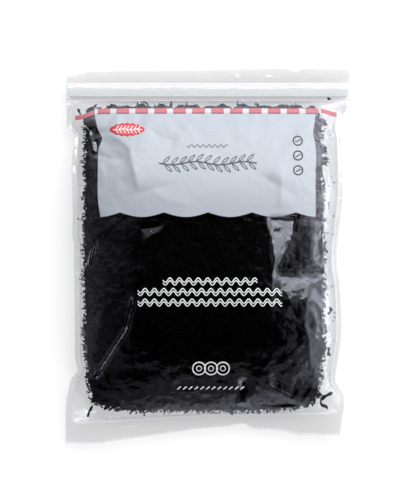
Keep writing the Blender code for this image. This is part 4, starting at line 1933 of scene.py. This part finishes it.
@dataclass
class LooseFlakes:
    """The single curled flakes that lie in the clear margins, and the chips strewn between them.

    Each flake has the X, Y, length and width of its strip, its turn in degrees and how much it waves.
    Each scrap has its X and Y, and half its width and height.
    """

    form: PouchForm
    maker: MeshMaker
    seed: int = 23
    flakes: tuple[tuple[float, float, float, float, float, float], ...] = (
        (118.5, -140.5, 15.0, 4.5, 36.0, 0.04),
        (116.0, -149.8, 11.0, 4.0, 117.0, 0.16),
        (-118.0, -156.0, 13.0, 2.6, 72.0, 0.05),
        (121.5, -55.0, 8.0, 3.5, 80.0, 0.10),
        (120.5, -96.0, 9.0, 3.5, 110.0, 0.12),
        (-129.0, 144.0, 7.0, 2.6, 125.0, 0.06),
    )
    steps: int = 18
    across_steps: int = 4
    thickness: float = 0.35
    crumb_count: int = 90
    crumb_sides: int = 5
    crumb_sizes: tuple[float, float] = (0.4, 1.3)
    crumb_rise: float = 0.15
    pocket: tuple[tuple[float, float], tuple[float, float]] = ((-131.0, 127.0), (-166.0, 152.0))
    heap: tuple[tuple[float, float], tuple[float, float]] = ((-122.0, 114.0), (-154.0, 148.0))
    least_room: float = 0.5
    scraps: tuple[tuple[float, float, float, float], ...] = (
        (121.0, 157.0, 2.6, 1.7), (29.6, 153.6, 0.7, 3.4), (30.4, 150.6, 1.1, 1.6))

    def between(self, x: float, y: float) -> tuple[float, float]:
        """Measure the room between the films.

        Args:
            x: The place's X.
            y: Its Y.

        Returns:
            The heights of the back film and the front film there.
        """
        at = (np.array([x]), np.array([y]))
        return float(self.form.back(*at)[0]), float(self.form.front(*at)[0])

    def flake(self, number: int, rng: random.Random) -> bpy.types.Object:
        """Make one flake: a thin crinkled strip, curled along and across.

        Args:
            number: Its place in the list of flakes.
            rng: Draws its waves.

        Returns:
            The flake.
        """
        x, y, length, width, degrees, wave = self.flakes[number]
        turn = math.radians(degrees)
        along = Vector((math.cos(turn), math.sin(turn), 0.0))
        side = Vector((-along.y, along.x, 0.0))
        middle = Vector((x, y, sum(self.between(x, y)) / 2.0))
        points = []
        bends = rng.uniform(0.5, 1.0)
        lag = rng.uniform(0.0, 2.0 * math.pi)
        for step in range(self.steps + 1):
            share = step / self.steps
            taper = 1.0 - 0.75 * abs(2.0 * share - 1.0) ** 3
            half = width / 2.0 * taper * (0.8 + 0.3 * math.sin(9.0 * share + lag))
            sway = wave * length * math.sin(2.0 * math.pi * bends * share + lag)
            spine = middle + along * length * (share - 0.5) + side * sway
            spine.z += 0.8 * math.sin(share * math.pi * 1.5) * rng.uniform(0.7, 1.1)
            for cell in range(self.across_steps + 1):
                place = 2.0 * cell / self.across_steps - 1.0
                point = spine + side * half * place
                point.z += 0.5 * place * place + 0.3 * place * math.sin(share * 5.0)
                points.append(point)
        columns = np.array([tuple(point) for point in points]).T
        grids = columns.reshape(3, self.steps + 1, self.across_steps + 1)
        piece = self.maker.from_grid(f"curled_flake_{number + 1}", *grids)
        thicken(piece, self.thickness, 0.0)
        bm = bmesh.new()
        bm.from_mesh(piece.data)
        bmesh.ops.recalc_face_normals(bm, faces=bm.faces)
        bm.to_mesh(piece.data)
        bm.free()
        return piece

    def stray_crumbs(self, rng: random.Random) -> bpy.types.Object:
        """Make the crumbs and scraps that strayed into the margins, as flat chips.

        Args:
            rng: Draws their places and shapes.

        Returns:
            The chips, as one mesh.
        """
        points: list[tuple[float, float, float]] = []
        faces: list[tuple[int, ...]] = []
        chips = list(self.scraps)
        while len(chips) < len(self.scraps) + self.crumb_count:
            place = tuple(rng.uniform(*side) for side in self.pocket)
            low, high = self.between(*place)
            inside = all(start < at < end for at, (start, end) in zip(place, self.heap))
            if not inside and high - low > self.least_room:
                size = rng.uniform(*self.crumb_sizes)
                chips.append((*place, size, size))
        for x, y, half_width, half_height in chips:
            low, high = self.between(x, y)
            middle = (low + high) / 2.0
            first = len(points)
            for corner in range(self.crumb_sides):
                turn = 2.0 * math.pi * corner / self.crumb_sides + rng.uniform(-0.4, 0.4)
                reach = rng.uniform(0.6, 1.1)
                points.append((
                    x + half_width * reach * math.cos(turn),
                    y + half_height * reach * math.sin(turn), middle))
            points.append((x, y, middle + self.crumb_rise))
            points.append((x, y, middle - self.crumb_rise))
            for corner in range(self.crumb_sides):
                following = first + (corner + 1) % self.crumb_sides
                faces.append((first + corner, following, first + self.crumb_sides))
                faces.append((following, first + corner, first + self.crumb_sides + 1))
        return self.maker.from_faces("stray_crumbs", np.array(points), faces, smooth=False)

    def build(self, material: bpy.types.Material) -> list[bpy.types.Object]:
        """Build every flake in the place of its solid, and the stray crumbs.

        Args:
            material: The shreds' material.

        Returns:
            The flakes, and the crumbs as the last piece.
        """
        rng = random.Random(self.seed)
        made = [self.flake(number, rng) for number in range(len(self.flakes))]
        for number, piece in enumerate(made):
            dress(piece, material, f"loose_flake_{number + 1}")
        crumbs = self.stray_crumbs(rng)
        dress(crumbs, material)
        return [*made, crumbs]


@dataclass
class PressZip:
    """The press zip's two halves, whose solids are shown as they are with a better finish."""

    nodes: tuple[str, ...] = ("zip_channel", "zip_rib")

    def build(self) -> list[bpy.types.Object]:
        """Dress both halves.

        Returns:
            The two halves.
        """
        material = ZipFinish().build()
        halves = [frame["nodes"][name] for name in self.nodes]
        for half in halves:
            for slot in half.material_slots:
                slot.material = material
        return halves


@dataclass
class Studio:
    """A pale floor, a patchy sky, two soft lamps and a camera that looks straight down.

    Each lamp has its name, its place and its size in metres, and its power in watts. Each of the sky's
    levels has a place, from 0 at a right angle to the dark way to 1 along it, and how bright it is.
    """

    maker: MeshMaker
    sensor: float = 36.0
    floor_half: float = 3.0
    floor_drop: float = 0.2
    floor_lines: int = 9
    sky_strength: float = 1.9
    right_bias: float = 1.25
    head_bias: float = 0.35
    head_boost: float = 0.8
    least: float = 0.17
    dark_way: tuple[float, float, float] = (0.0, -0.309, 0.951)
    gap_scale: float = 5.0
    gap_levels: tuple[float, float] = (0.40, 0.60)
    gap_depth: float = 0.4
    lamps: tuple[tuple[str, tuple[float, float, float], tuple[float, float], float], ...] = (
        ("head_light", (0.1, 1.29, 1.53), (1.4, 1.0), 17.0),
        ("right_light", (0.85, 0.85, 1.6), (0.95, 0.95), 8.5))
    sky_levels: tuple[tuple[float, float], ...] = (
        (0.0, 0.40), (0.1, 0.45), (0.25, 0.80), (0.4, 0.72), (0.5, 0.50), (0.7, 0.25), (0.80, 0.14),
        (0.875, 0.07), (0.905, 0.0), (1.0, 0.0),
    )

    def floor(self) -> None:
        """Lay the floor just under the pouch."""
        line = np.linspace(-self.floor_half, self.floor_half, self.floor_lines) / MM
        x, y = np.meshgrid(line, line)
        floor = self.maker.from_grid("studio_floor", x, y, np.full_like(x, -self.floor_drop))
        floor.data.materials.append(FloorFinish().build())

    def lamp(self, name: str, place: tuple[float, float, float], size: tuple[float, float],
             power: float) -> None:
        """Hang one soft light that faces the pouch.

        Args:
            name: The light's name.
            place: Where it hangs, in metres.
            size: Its width and height, in metres.
            power: Its power in watts.
        """
        data = bpy.data.lights.new(name, "AREA")
        data.shape = "RECTANGLE"
        data.size, data.size_y = size
        data.energy = power
        lamp = bpy.data.objects.new(name, data)
        lamp.location = place
        away = Vector(place).normalized()
        lamp.rotation_euler = away.to_track_quat("Z", "Y").to_euler()
        bpy.context.scene.collection.objects.link(lamp)

    def camera(self) -> None:
        """Set the camera above the pouch, so that one pixel is one millimetre at its outline."""
        data = bpy.data.cameras.new("photo_camera")
        data.type = "PERSP"
        data.sensor_width = self.sensor
        data.lens = self.sensor * VIEW.distance / VIEW.height
        camera = bpy.data.objects.new("photo_camera", data)
        place = Vector((VIEW.aim_x, VIEW.aim_y, VIEW.outline_height + VIEW.distance))
        camera.location = place * MM
        bpy.context.scene.collection.objects.link(camera)
        bpy.context.scene.camera = camera

    def surroundings(self) -> None:
        """Light the scene from all round, with gaps: dark overhead, brightest low on the right."""
        world = bpy.data.worlds.new("studio_world")
        world.use_nodes = True
        world.node_tree.nodes.clear()
        hand = NodeTree(world.node_tree)
        way = hand.node("ShaderNodeTexCoord").outputs["Generated"]
        parts = hand.node("ShaderNodeSeparateXYZ", Vector=way)
        height = hand.node("ShaderNodeVectorMath", {"operation": "DOT_PRODUCT"}, in_0=way)
        height.inputs[1].default_value = self.dark_way
        ramp = hand.node("ShaderNodeValToRGB", Fac=height.outputs["Value"])
        stops = ramp.color_ramp.elements
        for place, level in self.sky_levels:
            stop = stops[0] if place == 0.0 else stops[-1] if place == 1.0 else stops.new(place)
            stop.color = (level, level, level, 1.0)
        side = hand.math("MULTIPLY_ADD", parts.outputs["X"], self.right_bias, 1.0)
        head = hand.math("MULTIPLY_ADD", parts.outputs["Y"], self.head_bias, side)
        ahead = hand.math("MAXIMUM", parts.outputs["Y"], 0.0)
        head = hand.math("MULTIPLY_ADD", hand.math("POWER", ahead, 2.0), self.head_boost, head)
        level = hand.math("MAXIMUM", head, self.least)
        patches = hand.node("ShaderNodeTexNoise", Vector=way, Scale=self.gap_scale, Detail=1.0)
        gaps = hand.ramp(patches.outputs[0], *self.gap_levels)
        open_share = hand.math("MULTIPLY_ADD", gaps, 2.0 * self.gap_depth, 1.0 - self.gap_depth)
        strength = hand.product(level, open_share, self.sky_strength)
        light = hand.node("ShaderNodeBackground", Color=ramp.outputs["Color"], Strength=strength)
        hand.node("ShaderNodeOutputWorld", Surface=light.outputs[0])
        bpy.context.scene.world = world

    def build(self) -> None:
        """Set up the floor, the camera, the surroundings and the lamps."""
        self.floor()
        self.camera()
        self.surroundings()
        for lamp in self.lamps:
            self.lamp(*lamp)
        bpy.context.scene.view_settings.view_transform = "Standard"


def report(group: str, pieces: Sequence[bpy.types.Object]) -> None:
    """Log each piece's name and how many faces it has.

    Args:
        group: The name of the sub-assembly.
        pieces: Its pieces.
    """
    for piece in pieces:
        LOG.info("%s: %s, %d faces", group, piece.name, len(piece.data.polygons))


def main() -> None:
    """Build and dress the pouch in order, from the studio to the loose flakes."""
    logging.basicConfig(level=logging.INFO, format="%(name)s %(message)s")
    maker = MeshMaker()
    Studio(maker).build()
    form = PouchForm(folds=FOLDS, margin_folds=MARGIN_FOLDS)
    films = Films(form, maker).build()
    report("films", films)
    report("print", FrontPrint(films[0], maker).build())
    report("zip", PressZip().build())
    heap = Heap(form, maker)
    report("heap", heap.build())
    report("flakes", LooseFlakes(form, maker).build(heap.pieces[0].data.materials[0]))


if __name__ == "__main__":
    main()
